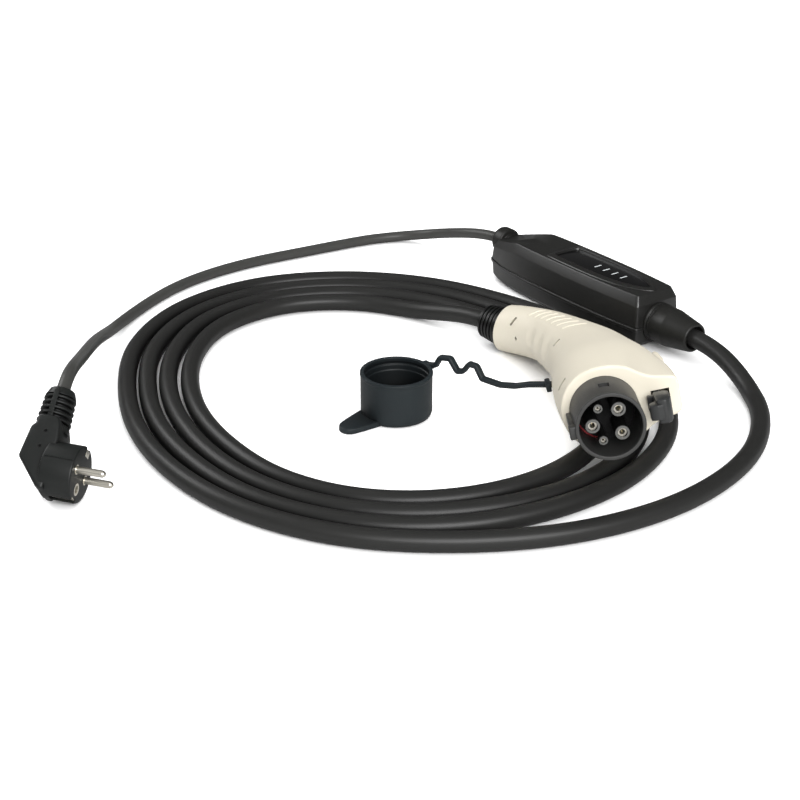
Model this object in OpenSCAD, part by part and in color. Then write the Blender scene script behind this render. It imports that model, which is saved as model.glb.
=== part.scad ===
// Portable car charger: mains plug, in-line control box, vehicle connector with its cap, and two cables.
// Millimetres. X points right, Y away from the viewer, Z up from the floor.
// The origin lies on the floor, at the middle of the space that the box, the connector and the cap take up.

/* [Control box] */
// Length of the control box
box_length = 190; // [182:1:198]
// Width of the control box at the parting line
box_width = 52; // [48:1:58]
// Height of the control box above the floor
box_height = 43; // [40:1:48]
// Wall thickness of the box shells
box_wall = 2.5; // [2:0.1:3]
// Height of the rubber feet
foot_height = 2; // [1:0.5:3]
// Length of the display panel
panel_length = 86; // [76:1:92]
// Width of the display panel
panel_width = 25; // [20:1:27]
// Thickness of the display panel
panel_thickness = 1.4; // [1:0.1:1.8]
// Length of each indicator dash
dash_length = 7; // [5:0.5:9]
// Thickness of the circuit board
board_thickness = 1.6; // [1.2:0.1:2]

/* [Glands and cables] */
// Diameter of the charging cable
cable_d = 13.5; // [12:0.25:14]
// Diameter of the mains cable
mains_d = 9; // [8:0.25:10]
// Length of the bend boot on the charging cable gland
gland_length = 38; // [32:1:44]
// Largest diameter of the charging cable gland
gland_d = 31; // [28:0.5:32]
// Length of the bend boot behind the handle
boot_length = 22; // [20:1:28]

/* [Vehicle connector] */
// Outside diameter of the connector sleeve
sleeve_d = 43.8; // [42.8:0.1:44.4]
// Wall of the connector sleeve
sleeve_wall = 2.4; // [2:0.1:2.6]
// Distance the sleeve stands out of the handle
sleeve_reach = 34; // [30:1:38]
// Depth from the sleeve rim to the contact towers
tower_setback = 7; // [5:0.5:9]
// Bore of the power contacts
power_bore_d = 3.6; // [3.4:0.05:3.8]
// Bore of the pilot and proximity contacts
signal_bore_d = 1.5; // [1.4:0.05:1.7]
// Wall thickness of the handle halves
shell_wall = 3; // [2.6:0.1:3.2]
// Diameter of the latch pin
latch_pin_d = 4; // [3.5:0.1:4.5]
// Running clearance of the latch pin in the lever, on the radius
pin_clearance = 0.05; // [0.02:0.01:0.1]

/* [Cap] */
// Outside diameter of the cap
cap_d = 51; // [49:0.5:53]
// Height of the cap
cap_height = 33; // [30:1:36]
// Wall thickness of the cap
cap_wall = 2.6; // [2:0.1:3]

/* [Mains plug] */
// Diameter of the plug pins
pin_d = 4.8; // [4.7:0.05:4.9]
// Length of the plug pins
pin_length = 19; // [18.5:0.1:19.5]
// Distance between the plug pins
pin_spacing = 19; // [18:0.5:20]
// Diameter of the plug face
plug_face_d = 37; // [35:0.5:39]

/* [Hidden] */
$fn = 48;
eps = 0.01;

// Pose of the box, the connector, the cap and the plug on the floor
box_pos = [49, 123, 0];
box_turn = -55;
gun_pos = [33, -177, 55];
gun_roll = -12;
gun_pitch = -7;
cap_pos = [-99, -73, 0];
tab_turn = 224;
plug_pos = [-297.8, -199.8, plug_face_d / 2 + 1.1];
plug_turn = [-50, 4.5, -12];

// Heights and levels of the box
box_half = box_length / 2;
split_z = 19.5;
shoulder_z = box_height - 7;
plateau_inset = 7.5;
board_z = foot_height + 8;
board_size = [108, 30];
led_board_size = [38, 10, 1.2];
led_length = 6;
pad_height = 1;
panel_start = -8;
panel_z = box_height + pad_height - panel_thickness;
dash_x = [24, 34, 44, 54];
boss_r = 4.2;
boss_spots = [[68, 11], [68, -11], [-68, 9], [-68, -9]];
foot_spots = [[50, 11], [50, -11], [-54, 11], [-54, -11]];
stand_spots = [[46, 11], [46, -11], [-46, 11], [-46, -11]];
gland_z = 21;
ring_length = 5;
grommet_z = 31;
grommet_r = 13;
grommet_reach = 9;
spot_depth = 0.4;

// Cable radii and bores; the jackets are gripped by the boots
cable_r = cable_d / 2;
mains_r = mains_d / 2;
grip_in = 0.15;

// Sleeve, carrier and contacts, along the connector axis (rim at minus sleeve_reach)
sleeve_r = sleeve_d / 2;
bore_r = sleeve_r - sleeve_wall;
mouth_r = bore_r + 0.5;
mouth_depth = 2.5;
rim_r = sleeve_r - 0.9;
rim_step = 2.6;
sleeve_back = 8;
flange_r = 23.8;
carrier_back = 11;
tower_front = -sleeve_reach + tower_setback;
tower_base = -2;
power_spots = [[6.8, 7.85], [6.8, -7.85]];
signal_spots = [[-5.6, 10.65], [-5.6, -10.65]];
earth_spot = [-10.6, 0];
power_r = 2.9;
signal_r = 1.6;
fit_gap = 0.05;
contact_tail = 26;

// Stations of the handle: centre x, centre y, turn, half width, half thickness, egg factor, the power that
// squares the latch side, and the tip of the section, which levels the tail where it lies on the floor
stations = [
  [10.2, 0, 0, 37.2, 27.2, 0.26, 0.5, 0],
  [9.7, 27, 2, 38.2, 27.2, 0.26, 0.55, 0],
  [8.4, 54, 5, 36.7, 26.2, 0.24, 0.62, 0],
  [5.8, 82, 9, 32.7, 23.4, 0.21, 0.7, 0],
  [2, 110, 15, 29.4, 21.3, 0.16, 0.8, 0],
  [-4.7, 134.5, 22, 26.6, 20.2, 0.12, 0.9, 0],
  [-12, 156.5, 29, 24, 19.5, 0.06, 1, 1],
  [-20.2, 176, 35, 21.4, 18.9, 0, 1, 4],
  [-29.8, 192.2, 40, 19.3, 19, 0, 1, 8],
  [-39.6, 206.4, 43, 18, 19, 0, 1, 12],
  [-47.8, 217, 45, 17.3, 18.6, 0, 1, 14]
];
handle_end = stations[10];
front_wall = 3;
latch_pivot = [34, 30];
lever_half = 5;
button_spot = [45, 62];
screw_spots = [[-36, 195, 16.5], [-11, 150, 18], [18, 92, 17.5]];
screw_r = 1.3;
head_r = 3;
head_depth = 11;
// Slots in the upper half: station and angle of each end
grip_slots = [[[8.52, 147], [8.34, 125]], [[3.91, 142], [3.9, 127]], [[0.68, 159], [0.6, 142]]];

// Charging cable: hand-laid points from the gland round the loose loops to the handle
loop_points = [
  [156, -45, 8], [144, -134, 7], [90, -205, 7], [16, -247, 7], [-63, -260, 7], [-137, -251, 7],
  [-200, -218, 7], [-247, -168, 7], [-278, -110, 7], [-295, -46, 7], [-300, 27, 7], [-276, 102, 7],
  [-217, 156, 7], [-139, 171, 7], [-65, 154, 7], [-7, 116, 7], [38, 71, 7], [74, 18, 7],
  [91, -45, 7], [88, -114, 7], [55, -176, 7], [0, -220, 7], [-66, -242, 7], [-134, -236, 7],
  [-193, -205, 7], [-235, -158, 7], [-264, -105, 7], [-280, -46, 7], [-285, 22, 7], [-263, 91, 7],
  [-208, 140, 7], [-136, 154, 7], [-68, 137, 7], [-16, 101, 7], [22, 57, 7], [50, 9, 7],
  [68, -45, 7], [70, -108, 7], [43, -166, 7], [-7, -207, 7], [-69, -226, 7], [-132, -221, 7],
  [-185, -192, 7], [-223, -149, 7], [-249, -100, 7], [-265, -46, 7], [-269, 16, 7], [-251, 81, 7],
  [-200, 126, 7], [-133, 137, 7], [-72, 118, 7], [-25, 84, 7], [9, 46, 7], [32.5, 3, 7],
  [46, -45, 7], [48, -99, 7], [25, -151, 7], [-17, -190, 7], [-72, -210, 7], [-129, -206, 7],
  [-177, -179, 7], [-211, -138, 7], [-235, -94, 7], [-249, -46, 7], [-253, 10, 7], [-238, 70, 7],
  [-191, 112, 7], [-129, 118, 7], [-79, 96, 8]
];
// Mains cable: hand-laid points from the box to the plug
mains_points = [
  [-32, 228, 28], [-47, 246, 21.5], [-64.5, 271, 12], [-86, 284, 5.5], [-106, 283, 4.5], [-127, 275, 4.5],
  [-147, 264, 4.5], [-187, 241, 4.5], [-225, 219, 4.5], [-257, 193, 4.5], [-284, 162, 4.5], [-304, 124, 4.5],
  [-317, 90, 5], [-323, 56, 9], [-323, 26, 18], [-323, -10, 28], [-321, -45, 37], [-319, -78, 45],
  [-317, -107, 53], [-315, -131, 59], [-315, -146, 60]
];
// Tether of the cap: hand-laid points from the cap rim to the handle
tether_points = [
  [-71, -63, 33], [-68, -65, 40], [-61, -69, 41], [-56, -73, 33], [-52, -75, 34], [-48, -78, 41],
  [-43, -80, 40], [-39, -83, 32], [-27, -91, 31], [-17, -97, 33], [-8, -103, 37]
];

// Small vector helpers
function unit(v) = v / norm(v);
function turn_x(v, a) = [v[0], v[1] * cos(a) - v[2] * sin(a), v[1] * sin(a) + v[2] * cos(a)];
function turn_y(v, a) = [v[0] * cos(a) + v[2] * sin(a), v[1], v[2] * cos(a) - v[0] * sin(a)];
function turn_z(v, a) = [v[0] * cos(a) - v[1] * sin(a), v[0] * sin(a) + v[1] * cos(a), v[2]];
function turned(v, r) = turn_z(turn_y(turn_x(v, r[0]), r[1]), r[2]);
function box_point(v) = box_pos + turn_z(v, box_turn);
function gun_point(v) = gun_pos + turn_x(turn_y(v, gun_roll), gun_pitch);
function plug_point(v) = plug_pos + turned(v, plug_turn);

// Cable ends follow the pieces that hold them
gland_tip = box_half - spot_depth + gland_length + ring_length;
gland_lead = [for (s = [gland_tip - 24, gland_tip, gland_tip + 14]) box_point([s, 0, gland_z])];
boot_lead = [for (s = [boot_length + 10, boot_length - 2, 6])
  gun_point([handle_end[0] - s * sin(handle_end[2]) * cos(handle_end[7]),
             handle_end[1] + s * cos(handle_end[2]) * cos(handle_end[7]), s * sin(handle_end[7])])];
grommet_lead = [for (s = [box_half + grommet_reach - 8, box_half + grommet_reach + 10])
  box_point([-s, 0, grommet_z])];
pin_root = 15;
root_step = 0.8;
relief_length = 24;
relief_lean = 8;
relief_foot = [-29, 0, 31];
relief_lead = [for (s = [relief_length, relief_length - 8, 4])
  plug_point(relief_foot + [-s * sin(relief_lean), 0, s * cos(relief_lean)])];
cable_path = concat(gland_lead, loop_points, boot_lead);
mains_path = concat(grommet_lead, mains_points, relief_lead);

// Skin over a stack of closed loops with the same number of points; a channel's ends are closed in strips
module skin(loops, channel = false) {
  n = len(loops[0]);
  m = len(loops);
  points = [for (l = loops) for (p = l) p];
  sides = [for (i = [0:m - 2]) for (j = [0:n - 1]) for (t = [0, 1])
    t == 0 ? [i * n + j, (i + 1) * n + j, (i + 1) * n + (j + 1) % n]
           : [i * n + j, (i + 1) * n + (j + 1) % n, i * n + (j + 1) % n]];
  strip = [for (j = [0:n / 2 - 2]) for (t = [0, 1]) t == 0 ? [j, j + 1, n - 2 - j] : [j, n - 2 - j, n - 1 - j]];
  start = channel ? strip : [[for (j = [0:n - 1]) j]];
  end = channel ? [for (f = strip) [for (k = [2:-1:0]) (m - 1) * n + f[k]]]
    : [[for (j = [n - 1:-1:0]) (m - 1) * n + j]];
  polyhedron(points = points, faces = concat(start, sides, end), convexity = 8);
}

// Round tube along a path; the ring at each point is square to the path there
function tangent(p, i) = unit(p[min(i + 1, len(p) - 1)] - p[max(i - 1, 0)]);
function tube_ring(c, t, r, n) = let (s = unit(cross([0, 0, 1], t)), u = cross(t, s))
  [for (k = [0:n - 1]) c + r * (cos(360 * k / n) * s + sin(360 * k / n) * u)];
module tube(path, r, n) {
  skin([for (i = [0:len(path) - 1]) tube_ring(path[i], tangent(path, i), r, n)]);
}

// Plan of the box at one inset, corners cut twice so that they come out rounded
function cut_corners(p) = [for (i = [0:len(p) - 1]) for (t = [0.25, 0.75])
  p[i] * (1 - t) + p[(i + 1) % len(p)] * t];
function box_plan(e) = let (l = box_half - e, w = box_width / 2 - e,
  h = [[l, 0.76 * w], [l - 1, 0.84 * w], [l - 4, 0.87 * w], [l - 46, w], [38 - l, w], [6 - l, 0.6 * w],
       [-l, 0.42 * w]])
  cut_corners(cut_corners(concat(h, [for (i = [6:-1:0]) [h[i][0], -h[i][1]]])));
function box_loop(z, e) = [for (p = box_plan(e)) [p[0], p[1], z]];
module box_loft(levels) {
  skin([for (v = levels) box_loop(v[0], v[1])]);
}
module in_box() {
  translate(box_pos) rotate([0, 0, box_turn]) children();
}
module along_box(x, z) {
  translate([x, 0, z]) rotate([0, 90, 0]) children();
}

// Seats of the two glands in the end walls
module gland_seats() {
  along_box(box_half - spot_depth, gland_z) cylinder(r = gland_d / 2 + 0.4, h = 20);
  along_box(box_half - 25, gland_z) cylinder(r = 9.1, h = 30);
  along_box(-box_half - 18, grommet_z) cylinder(r = grommet_r + 0.3, h = 18 + spot_depth);
  along_box(-box_half - 5, grommet_z) cylinder(r = 7.1, h = 30);
}

module box_lower_shell() {
  color("#2b2b2a") in_box() difference() {
    union() {
      difference() {
        box_loft([[foot_height, 6], [foot_height + 6, 1.6], [split_z - 3, 0.4],
                  [split_z - 2.8, -0.8], [split_z, -0.8]]);
        box_loft([[foot_height + box_wall, 6 + 0.6 * box_wall], [foot_height + 7, 1.6 + box_wall],
                  [split_z + 1, 0.2 + box_wall]]);
      }
      for (p = boss_spots)
        translate([p[0], p[1], foot_height + 1]) cylinder(r = boss_r, h = split_z - foot_height - 1);
      for (p = stand_spots)
        translate([p[0], p[1], foot_height + 1]) cylinder(r = 3, h = board_z - foot_height - 1);
    }
    for (p = boss_spots) {
      translate([p[0], p[1], -1]) cylinder(r = 1.7, h = 40);
      translate([p[0], p[1], -1]) cylinder(r = 3.3, h = foot_height + 5);
    }
    difference() {
      box_loft([[split_z - 1.2, 0.5], [split_z + 1, 0.5]]);
      box_loft([[split_z - 2, 1.7], [split_z + 2, 1.7]]);
    }
    gland_seats();
  }
}

module box_gasket() {
  color("#1c1c1c") in_box() difference() {
    box_loft([[split_z - 1.2, 0.5], [split_z, 0.5]]);
    box_loft([[split_z - 2, 1.7], [split_z + 2, 1.7]]);
    gland_seats();
  }
}

function panel_plan(l, w, x) = [[x, -0.42 * w], [x + 0.04 * l, -0.5 * w], [x + 0.72 * l, -0.5 * w],
  [x + l, -0.12 * w], [x + l, 0.12 * w], [x + 0.72 * l, 0.5 * w], [x + 0.04 * l, 0.5 * w], [x, 0.42 * w]];

module box_upper_shell() {
  color("#2f2f2d") in_box() difference() {
    union() {
      difference() {
        box_loft([[split_z, 0], [shoulder_z, 1.2], [box_height, plateau_inset]]);
        box_loft([[split_z - 1, box_wall], [shoulder_z - 1, 1.2 + box_wall],
                  [box_height - box_wall, plateau_inset + 0.5 * box_wall]]);
      }
      translate([0, 0, box_height - 1])
        linear_extrude(1 + pad_height)
          polygon(cut_corners(panel_plan(panel_length + 8, panel_width + 6, panel_start - 5)));
      for (p = boss_spots)
        translate([p[0], p[1], split_z]) cylinder(r = boss_r, h = box_height - split_z - 1);
    }
    for (p = boss_spots) translate([p[0], p[1], split_z - 1]) cylinder(r = 1.3, h = 15);
    translate([0, 0, panel_z])
      linear_extrude(10) polygon(cut_corners(panel_plan(panel_length, panel_width, panel_start)));
    for (x = dash_x) translate([x, 0, box_height - 12]) cylinder(r = 1.6, h = 20);
    gland_seats();
  }
}

module display_panel() {
  color("#0b0b0c") in_box() difference() {
    translate([0, 0, panel_z])
      linear_extrude(panel_thickness) polygon(cut_corners(panel_plan(panel_length, panel_width, panel_start)));
    for (x = dash_x)
      translate([x - 0.8, -dash_length / 2, panel_z + 0.4]) cube([1.6, dash_length, 5]);
  }
}

module indicator_lenses() {
  color("#e9eef0") in_box()
    for (x = dash_x)
      translate([x - 0.8, -dash_length / 2, panel_z + 0.4]) cube([1.6, dash_length, panel_thickness - 0.4]);
}

module circuit_board() {
  color("#2f5d3a") in_box() difference() {
    translate([-board_size[0] / 2, -board_size[1] / 2, board_z]) cube(concat(board_size, board_thickness));
    for (p = stand_spots) translate([p[0], p[1], board_z - 1]) cylinder(r = 1.2, h = 5);
  }
}

module board_screws() {
  color("#b9bcc0") in_box()
    for (p = stand_spots) translate([p[0], p[1], board_z + board_thickness]) {
      cylinder(r = 2.2, h = 1.6);
      translate([0, 0, -board_thickness]) cylinder(r = 1.15, h = board_thickness + eps);
    }
}

board_top = board_z + board_thickness;

module power_relays() {
  color("#2b3a55") in_box()
    for (y = [-13.5, 1.5]) translate([8, y, board_top]) cube([26, 12, 13]);
}

module leakage_sensor() {
  color("#3c3c3e") in_box() translate([-24, 0, board_top]) rotate_extrude()
    translate([6, 0]) square([6, 9]);
}

module supply_module() {
  color("#1f1f20") in_box() translate([-8, -12, board_top]) cube([13, 24, 14]);
}

module terminal_block() {
  color("#3f6a4c") in_box() translate([11 - board_size[0] / 2, -8, board_top]) cube([6, 16, 9]);
}

module status_leds() {
  color("#d8e6d0") in_box()
    for (x = dash_x) translate([x, 0, panel_z - led_length]) cylinder(r = 1.5, h = led_length);
}

module led_board() {
  color("#2f5d3a") in_box() translate([20, -led_board_size[1] / 2, panel_z - led_length - led_board_size[2]])
    cube(led_board_size);
}

module box_screws() {
  color("#9a9c9f") in_box()
    for (p = boss_spots) translate([p[0], p[1], 0]) {
      translate([0, 0, foot_height + 4 - 2.4]) cylinder(r = 3, h = 2.4);
      translate([0, 0, foot_height + 4 - eps]) cylinder(r = 1.3, h = 20);
    }
}

module rubber_feet() {
  color("#161616") in_box()
    for (p = foot_spots) translate([p[0], p[1], 0]) cylinder(r1 = 4.4, r2 = 5, h = foot_height);
}

module gland_ring() {
  r = gland_d / 2;
  color("#242424") in_box() along_box(box_half - spot_depth, gland_z) rotate_extrude()
    polygon([[7.6, -6], [9, -6], [9, 0], [r, 0], [r, 2], [r - 1.2, 2.6], [r - 1.2, 3.6], [r, 4.2],
             [r, ring_length], [7.6, ring_length]]);
}

module gland_boot() {
  r = gland_d / 2 - 0.6;
  g = cable_r - grip_in;
  color("#262626") in_box() along_box(box_half - spot_depth + ring_length, gland_z) rotate_extrude()
    polygon([[g, 0], [r, 0], [r, 9], [r - 0.8, 12], [0.72 * r + 0.5, gland_length - 3],
             [0.72 * r, gland_length - 1], [0.72 * r - 1, gland_length], [g, gland_length]]);
}

module mains_grommet() {
  r = grommet_r;
  g = mains_r - grip_in;
  w = 0.5 * (r + g);
  color("#232323") in_box() along_box(-box_half + spot_depth, grommet_z) rotate([180, 0, 0]) rotate_extrude()
    polygon([[g, -6], [7, -6], [7, 0], [r, 0], [r, 6], [r - 3, 9], [w, grommet_reach + spot_depth],
             [g, grommet_reach + spot_depth]]);
}

module charging_cable() {
  color("#3a3936") tube(cable_path, cable_r, 10);
}

module mains_cable() {
  color("#333331") tube(mains_path, mains_r, 10);
}

// Handle: egg section at a station, upper half, shrunk by d all round; side is -1 for a half that is mirrored
function egg(s, d, a, side = 1) = let (w = s[3] - d, h = s[4] - d, c = cos(a),
  x = w * (c > 0 ? pow(c, s[6]) : c), z = h * sin(a) * (1 - s[5] * c), lean = z * sin(side * s[7]))
  [s[0] + x * cos(s[2]) + lean * sin(s[2]), s[1] + x * sin(s[2]) - lean * cos(s[2]), z * cos(s[7])];
function blend(a, b, c, d, t) = 0.5 * ((2 * b) + (c - a) * t + (2 * a - 5 * b + 4 * c - d) * t * t
  + (3 * b - a - 3 * c + d) * t * t * t);
last_station = len(stations) - 1;
function station(u) = let (i = min(floor(u), last_station - 1))
  blend(stations[max(i - 1, 0)], stations[i], stations[i + 1], stations[min(i + 2, last_station)], u - i);
arc_steps = 16;
function half_loop(s, side) = concat(
  [for (k = [arc_steps:-1:0]) egg(s, 0, 180 * k / arc_steps, side)],
  [for (k = [0:arc_steps]) egg(s, shell_wall, 180 * k / arc_steps, side)]);

module in_gun() {
  translate(gun_pos) rotate([gun_pitch, 0, 0]) rotate([0, gun_roll, 0]) children();
}
// Turns the z axis to the connector's forward direction, with x staying the latch side
module forward(y) {
  translate([0, y, 0]) rotate([90, 0, 0]) children();
}
// Plate across the inside of one handle half, between two stations along the axis
module half_plate(y, t, d) {
  s = station(y / 27);
  plate = [for (k = [0:arc_steps]) let (p = egg(s, d, 180 * k / arc_steps)) [p[0], p[2]]];
  forward(y + t) linear_extrude(t) polygon(plate);
}
module latch_slot() {
  translate([28.5, -5, -lever_half - 0.8]) cube([13.9, 32, 2 * lever_half + 1.6]);
}
module button_opening() {
  translate([button_spot[0] - 9, button_spot[1] - 14.5, -8]) cube([30, 28, 16]);
}

// One half of the handle, bare: wall, front wall, bulkhead, screw posts and pin boss
module half_shell(side = 1) {
  difference() {
    union() {
      skin([for (i = [0:2 * last_station]) half_loop(station(i / 2), side)], true);
      half_plate(0, front_wall, shell_wall - 1);
      half_plate(carrier_back, 3, shell_wall - 1);
      translate([latch_pivot[0], latch_pivot[1], lever_half + 0.5]) cylinder(r = 4.5, h = 10);
      for (p = screw_spots) translate([p[0], p[1], 0]) cylinder(r = 4.5, h = p[2]);
    }
    forward(carrier_back) cylinder(r = sleeve_r + fit_gap, h = 40, $fn = 64);
    forward(20) cylinder(r = 16.5, h = 20);
    latch_slot();
    button_opening();
    translate([latch_pivot[0], latch_pivot[1], -1]) cylinder(r = latch_pin_d / 2, h = 14);
  }
}
module handle_upper() {
  color("#e8e1d1") in_gun() difference() {
    union() {
      half_shell();
      for (i = [0:6]) bar(egg(station(7.6 - 0.5 * i), 0.2, 112), egg(station(7.5 - 0.46 * i), 0.2, 77), 1.1);
    }
    for (e = grip_slots) bar(egg(station(e[0][0]), 0, e[0][1]), egg(station(e[1][0]), 0, e[1][1]), 1.1);
    for (p = screw_spots) translate([p[0], p[1], -1]) cylinder(r = screw_r, h = 11);
    tether_seat();
  }
}

module handle_lower() {
  color("#e4ddcd") in_gun() difference() {
    mirror([0, 0, 1]) half_shell(-1);
    for (p = screw_spots) {
      translate([p[0], p[1], -40]) cylinder(r = screw_r + 0.4, h = 45);
      translate([p[0], p[1], -40]) cylinder(r = head_r + 0.3, h = 40 - head_depth);
    }
    tether_seat();
  }
}

// Round bar between two points: the raised grip ribs, and the tools that cut the slots
module bar(a, b, r) {
  v = b - a;
  translate(a) rotate([0, acos(v[2] / norm(v)), atan2(v[1], v[0])]) cylinder(r = r, h = norm(v), $fn = 16);
}

// Screws go in from below, into the posts of the upper half
module handle_screws() {
  color("#8f9194") in_gun()
    for (p = screw_spots) translate([p[0], p[1], 0]) {
      translate([0, 0, -head_depth - 2.4]) cylinder(r = head_r, h = 2.4);
      translate([0, 0, -head_depth - eps]) cylinder(r = screw_r, h = head_depth + 8);
    }
}

module connector_sleeve() {
  color("#484848") in_gun() difference() {
    union() {
      forward(sleeve_back) cylinder(r = sleeve_r, h = sleeve_back + sleeve_reach - rim_step, $fn = 96);
      forward(0) cylinder(r = rim_r, h = sleeve_reach, $fn = 96);
      forward(front_wall + 3) cylinder(r = flange_r, h = 3, $fn = 96);
      translate([-sleeve_r - 3.4, -sleeve_reach + 1.5, -4]) cube([5, sleeve_reach - 4, 8]);
    }
    forward(sleeve_back + 1) cylinder(r = bore_r, h = 60, $fn = 96);
    forward(-sleeve_reach + mouth_depth) cylinder(r = mouth_r, h = 20, $fn = 96);
    translate([-2, -17, sleeve_r - 1]) cube([6.4, 3.5, 5]);
  }
}

// Sets its child at each contact spot, along the connector axis from y forwards
module at_contacts(spots, y) {
  for (p = spots) translate([p[0], 0, p[1]]) forward(y) children();
}
module contact_carrier() {
  wide_spots = concat(power_spots, [earth_spot]);
  tower = 1 + tower_base - tower_front;
  color("#151515") in_gun() difference() {
    union() {
      forward(carrier_back) cylinder(r = sleeve_r - 0.4, h = carrier_back - sleeve_back);
      forward(sleeve_back) cylinder(r = bore_r - 0.1, h = sleeve_back - tower_base);
      at_contacts(wide_spots, tower_base + 1) cylinder(r = 4.5, h = tower);
      at_contacts(signal_spots, tower_base + 1) cylinder(r = 2.8, h = tower);
    }
    at_contacts(wide_spots, 20) cylinder(r = power_r + fit_gap, h = 80);
    at_contacts(signal_spots, 20) cylinder(r = signal_r + fit_gap, h = 80);
  }
}

// Turned socket contact with a collar behind the carrier and a bored front
module contact(r, bore) {
  deep = carrier_back - tower_front - 2;
  tail = carrier_back - contact_tail;
  rotate_extrude()
    polygon([[0, tail], [r - 0.6, tail], [r - 0.6, -3], [r + 0.9, -3], [r + 0.9, 0], [r, 0], [r, deep],
             [bore, deep], [bore, deep - 18], [0, deep - 18]]);
}
module power_contacts() {
  color("#c9c6bd") in_gun() at_contacts(power_spots, carrier_back) contact(power_r, power_bore_d / 2);
}
module earth_contact() {
  color("#cfc9b4") in_gun() at_contacts([earth_spot], carrier_back) contact(power_r, power_bore_d / 2);
}
module signal_contacts() {
  color("#c9c6bd") in_gun() at_contacts(signal_spots, carrier_back) contact(signal_r, signal_bore_d / 2);
}

// Latch lever in plan: hook in front, pivot, and the arm under the button
lever_plan = [[26, -25], [31, -27], [38, -25], [40, -20], [40, -8], [38, -5.5], [37, -4], [37, 22], [40, 30],
  [41, 44], [43, 50], [43, 72], [39, 72], [37, 48], [33, 37], [30, 33], [30.5, 26], [31.5, 22], [31.5, -4.5],
  [27, -4.5], [27, -8.5], [31, -8.5], [31, -17], [26, -20]];
module latch_lever() {
  color("#232425") in_gun() difference() {
    union() {
      translate([0, 0, -lever_half]) linear_extrude(2 * lever_half) polygon(lever_plan);
      translate([31, -25, -8]) cube([7.5, 16.5, 16]);
    }
    translate([latch_pivot[0], latch_pivot[1], -20]) cylinder(r = latch_pin_d / 2 + pin_clearance, h = 40);
  }
}

module latch_pin() {
  color("#b4b6b9") in_gun()
    translate([latch_pivot[0], latch_pivot[1], -12.5]) cylinder(r = latch_pin_d / 2, h = 25);
}

module release_button() {
  color("#efe9db") in_gun() translate([0, 0, -7]) linear_extrude(14)
    polygon([[43, 51], [46.5, 51], [48, 53.5], [46.8, 68], [45.4, 72], [43, 72]]);
}

module grip_boot() {
  g = cable_r - grip_in;
  r = 13.4;
  neck_length = 5;
  rib = (boot_length - 4) / 5;
  ribs = [for (i = [0:4]) for (q = [0:3])
    [(q == 1 || q == 2 ? r : r - 2) - 0.35 * i, 2.2 + rib * (i + [0.12, 0.3, 0.78, 0.96][q])]];
  color("#1f1f20") in_gun() translate([handle_end[0], handle_end[1], 0]) rotate([0, 0, handle_end[2]])
    rotate([handle_end[7] - 90, 0, 0]) rotate_extrude()
      polygon(concat([[g, -neck_length], [13.6, -neck_length], [13.6, 0], [16.6, 0], [16.6, 1.6], [r - 2, 2.2]], ribs,
        [[r - 3.6, boot_length - 1], [r - 4.4, boot_length], [g, boot_length]]));
}

// Cap stands open side up; the pull tab is moulded on its closed end
module connector_cap() {
  r = cap_d / 2;
  color("#33383b") translate(cap_pos) {
    difference() {
      union() {
        rotate_extrude($fn = 96)
          polygon([[0, 0], [r - 3.5, 0], [r - 1.2, 1], [r, 3.4], [r, cap_height], [0, cap_height]]);
        rotate([0, 0, tab_turn]) linear_extrude(4.2)
          polygon([[10, -12], [r + 2, -10.5], [r + 18, -7], [r + 22.5, -4], [r + 24, 0],
                   [r + 22.5, 4], [r + 18, 7], [r + 2, 10.5], [10, 12]]);
      }
      translate([0, 0, cap_wall + 0.6]) cylinder(r = r - cap_wall, h = cap_height, $fn = 96);
      translate([0, 0, cap_height - 5]) cylinder(r = r - cap_wall + 0.8, h = 2, $fn = 96);
    }
  }
}

// Moulded strap from the cap rim to a T-shaped end in the handle's side
tether_y = 62;
tether_end = gun_point([-26.8, tether_y, 0]);
module tether_seat() {
  translate([-29, tether_y - 5, -1.8]) cube([4, 10, 3.6]);
}
module cap_tether() {
  lug = cap_pos + [cap_d / 2 + 0.5, 9.6, cap_height - 3];
  color("#2e3336") {
    difference() {
      union() {
        tube(concat([lug], tether_points, [tether_end]), 2.3, 8);
        translate(cap_pos + [0, 0, cap_height - 5.6]) rotate([0, 0, 20])
          translate([cap_d / 2 - 3, -5, 0]) cube([6, 10, 3.6]);
      }
      translate(cap_pos + [0, 0, -1]) cylinder(r = cap_d / 2, h = 80);
    }
    in_gun() translate([-29.7, tether_y - 7.5, -3]) cube([1.6, 15, 6]);
  }
}

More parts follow.
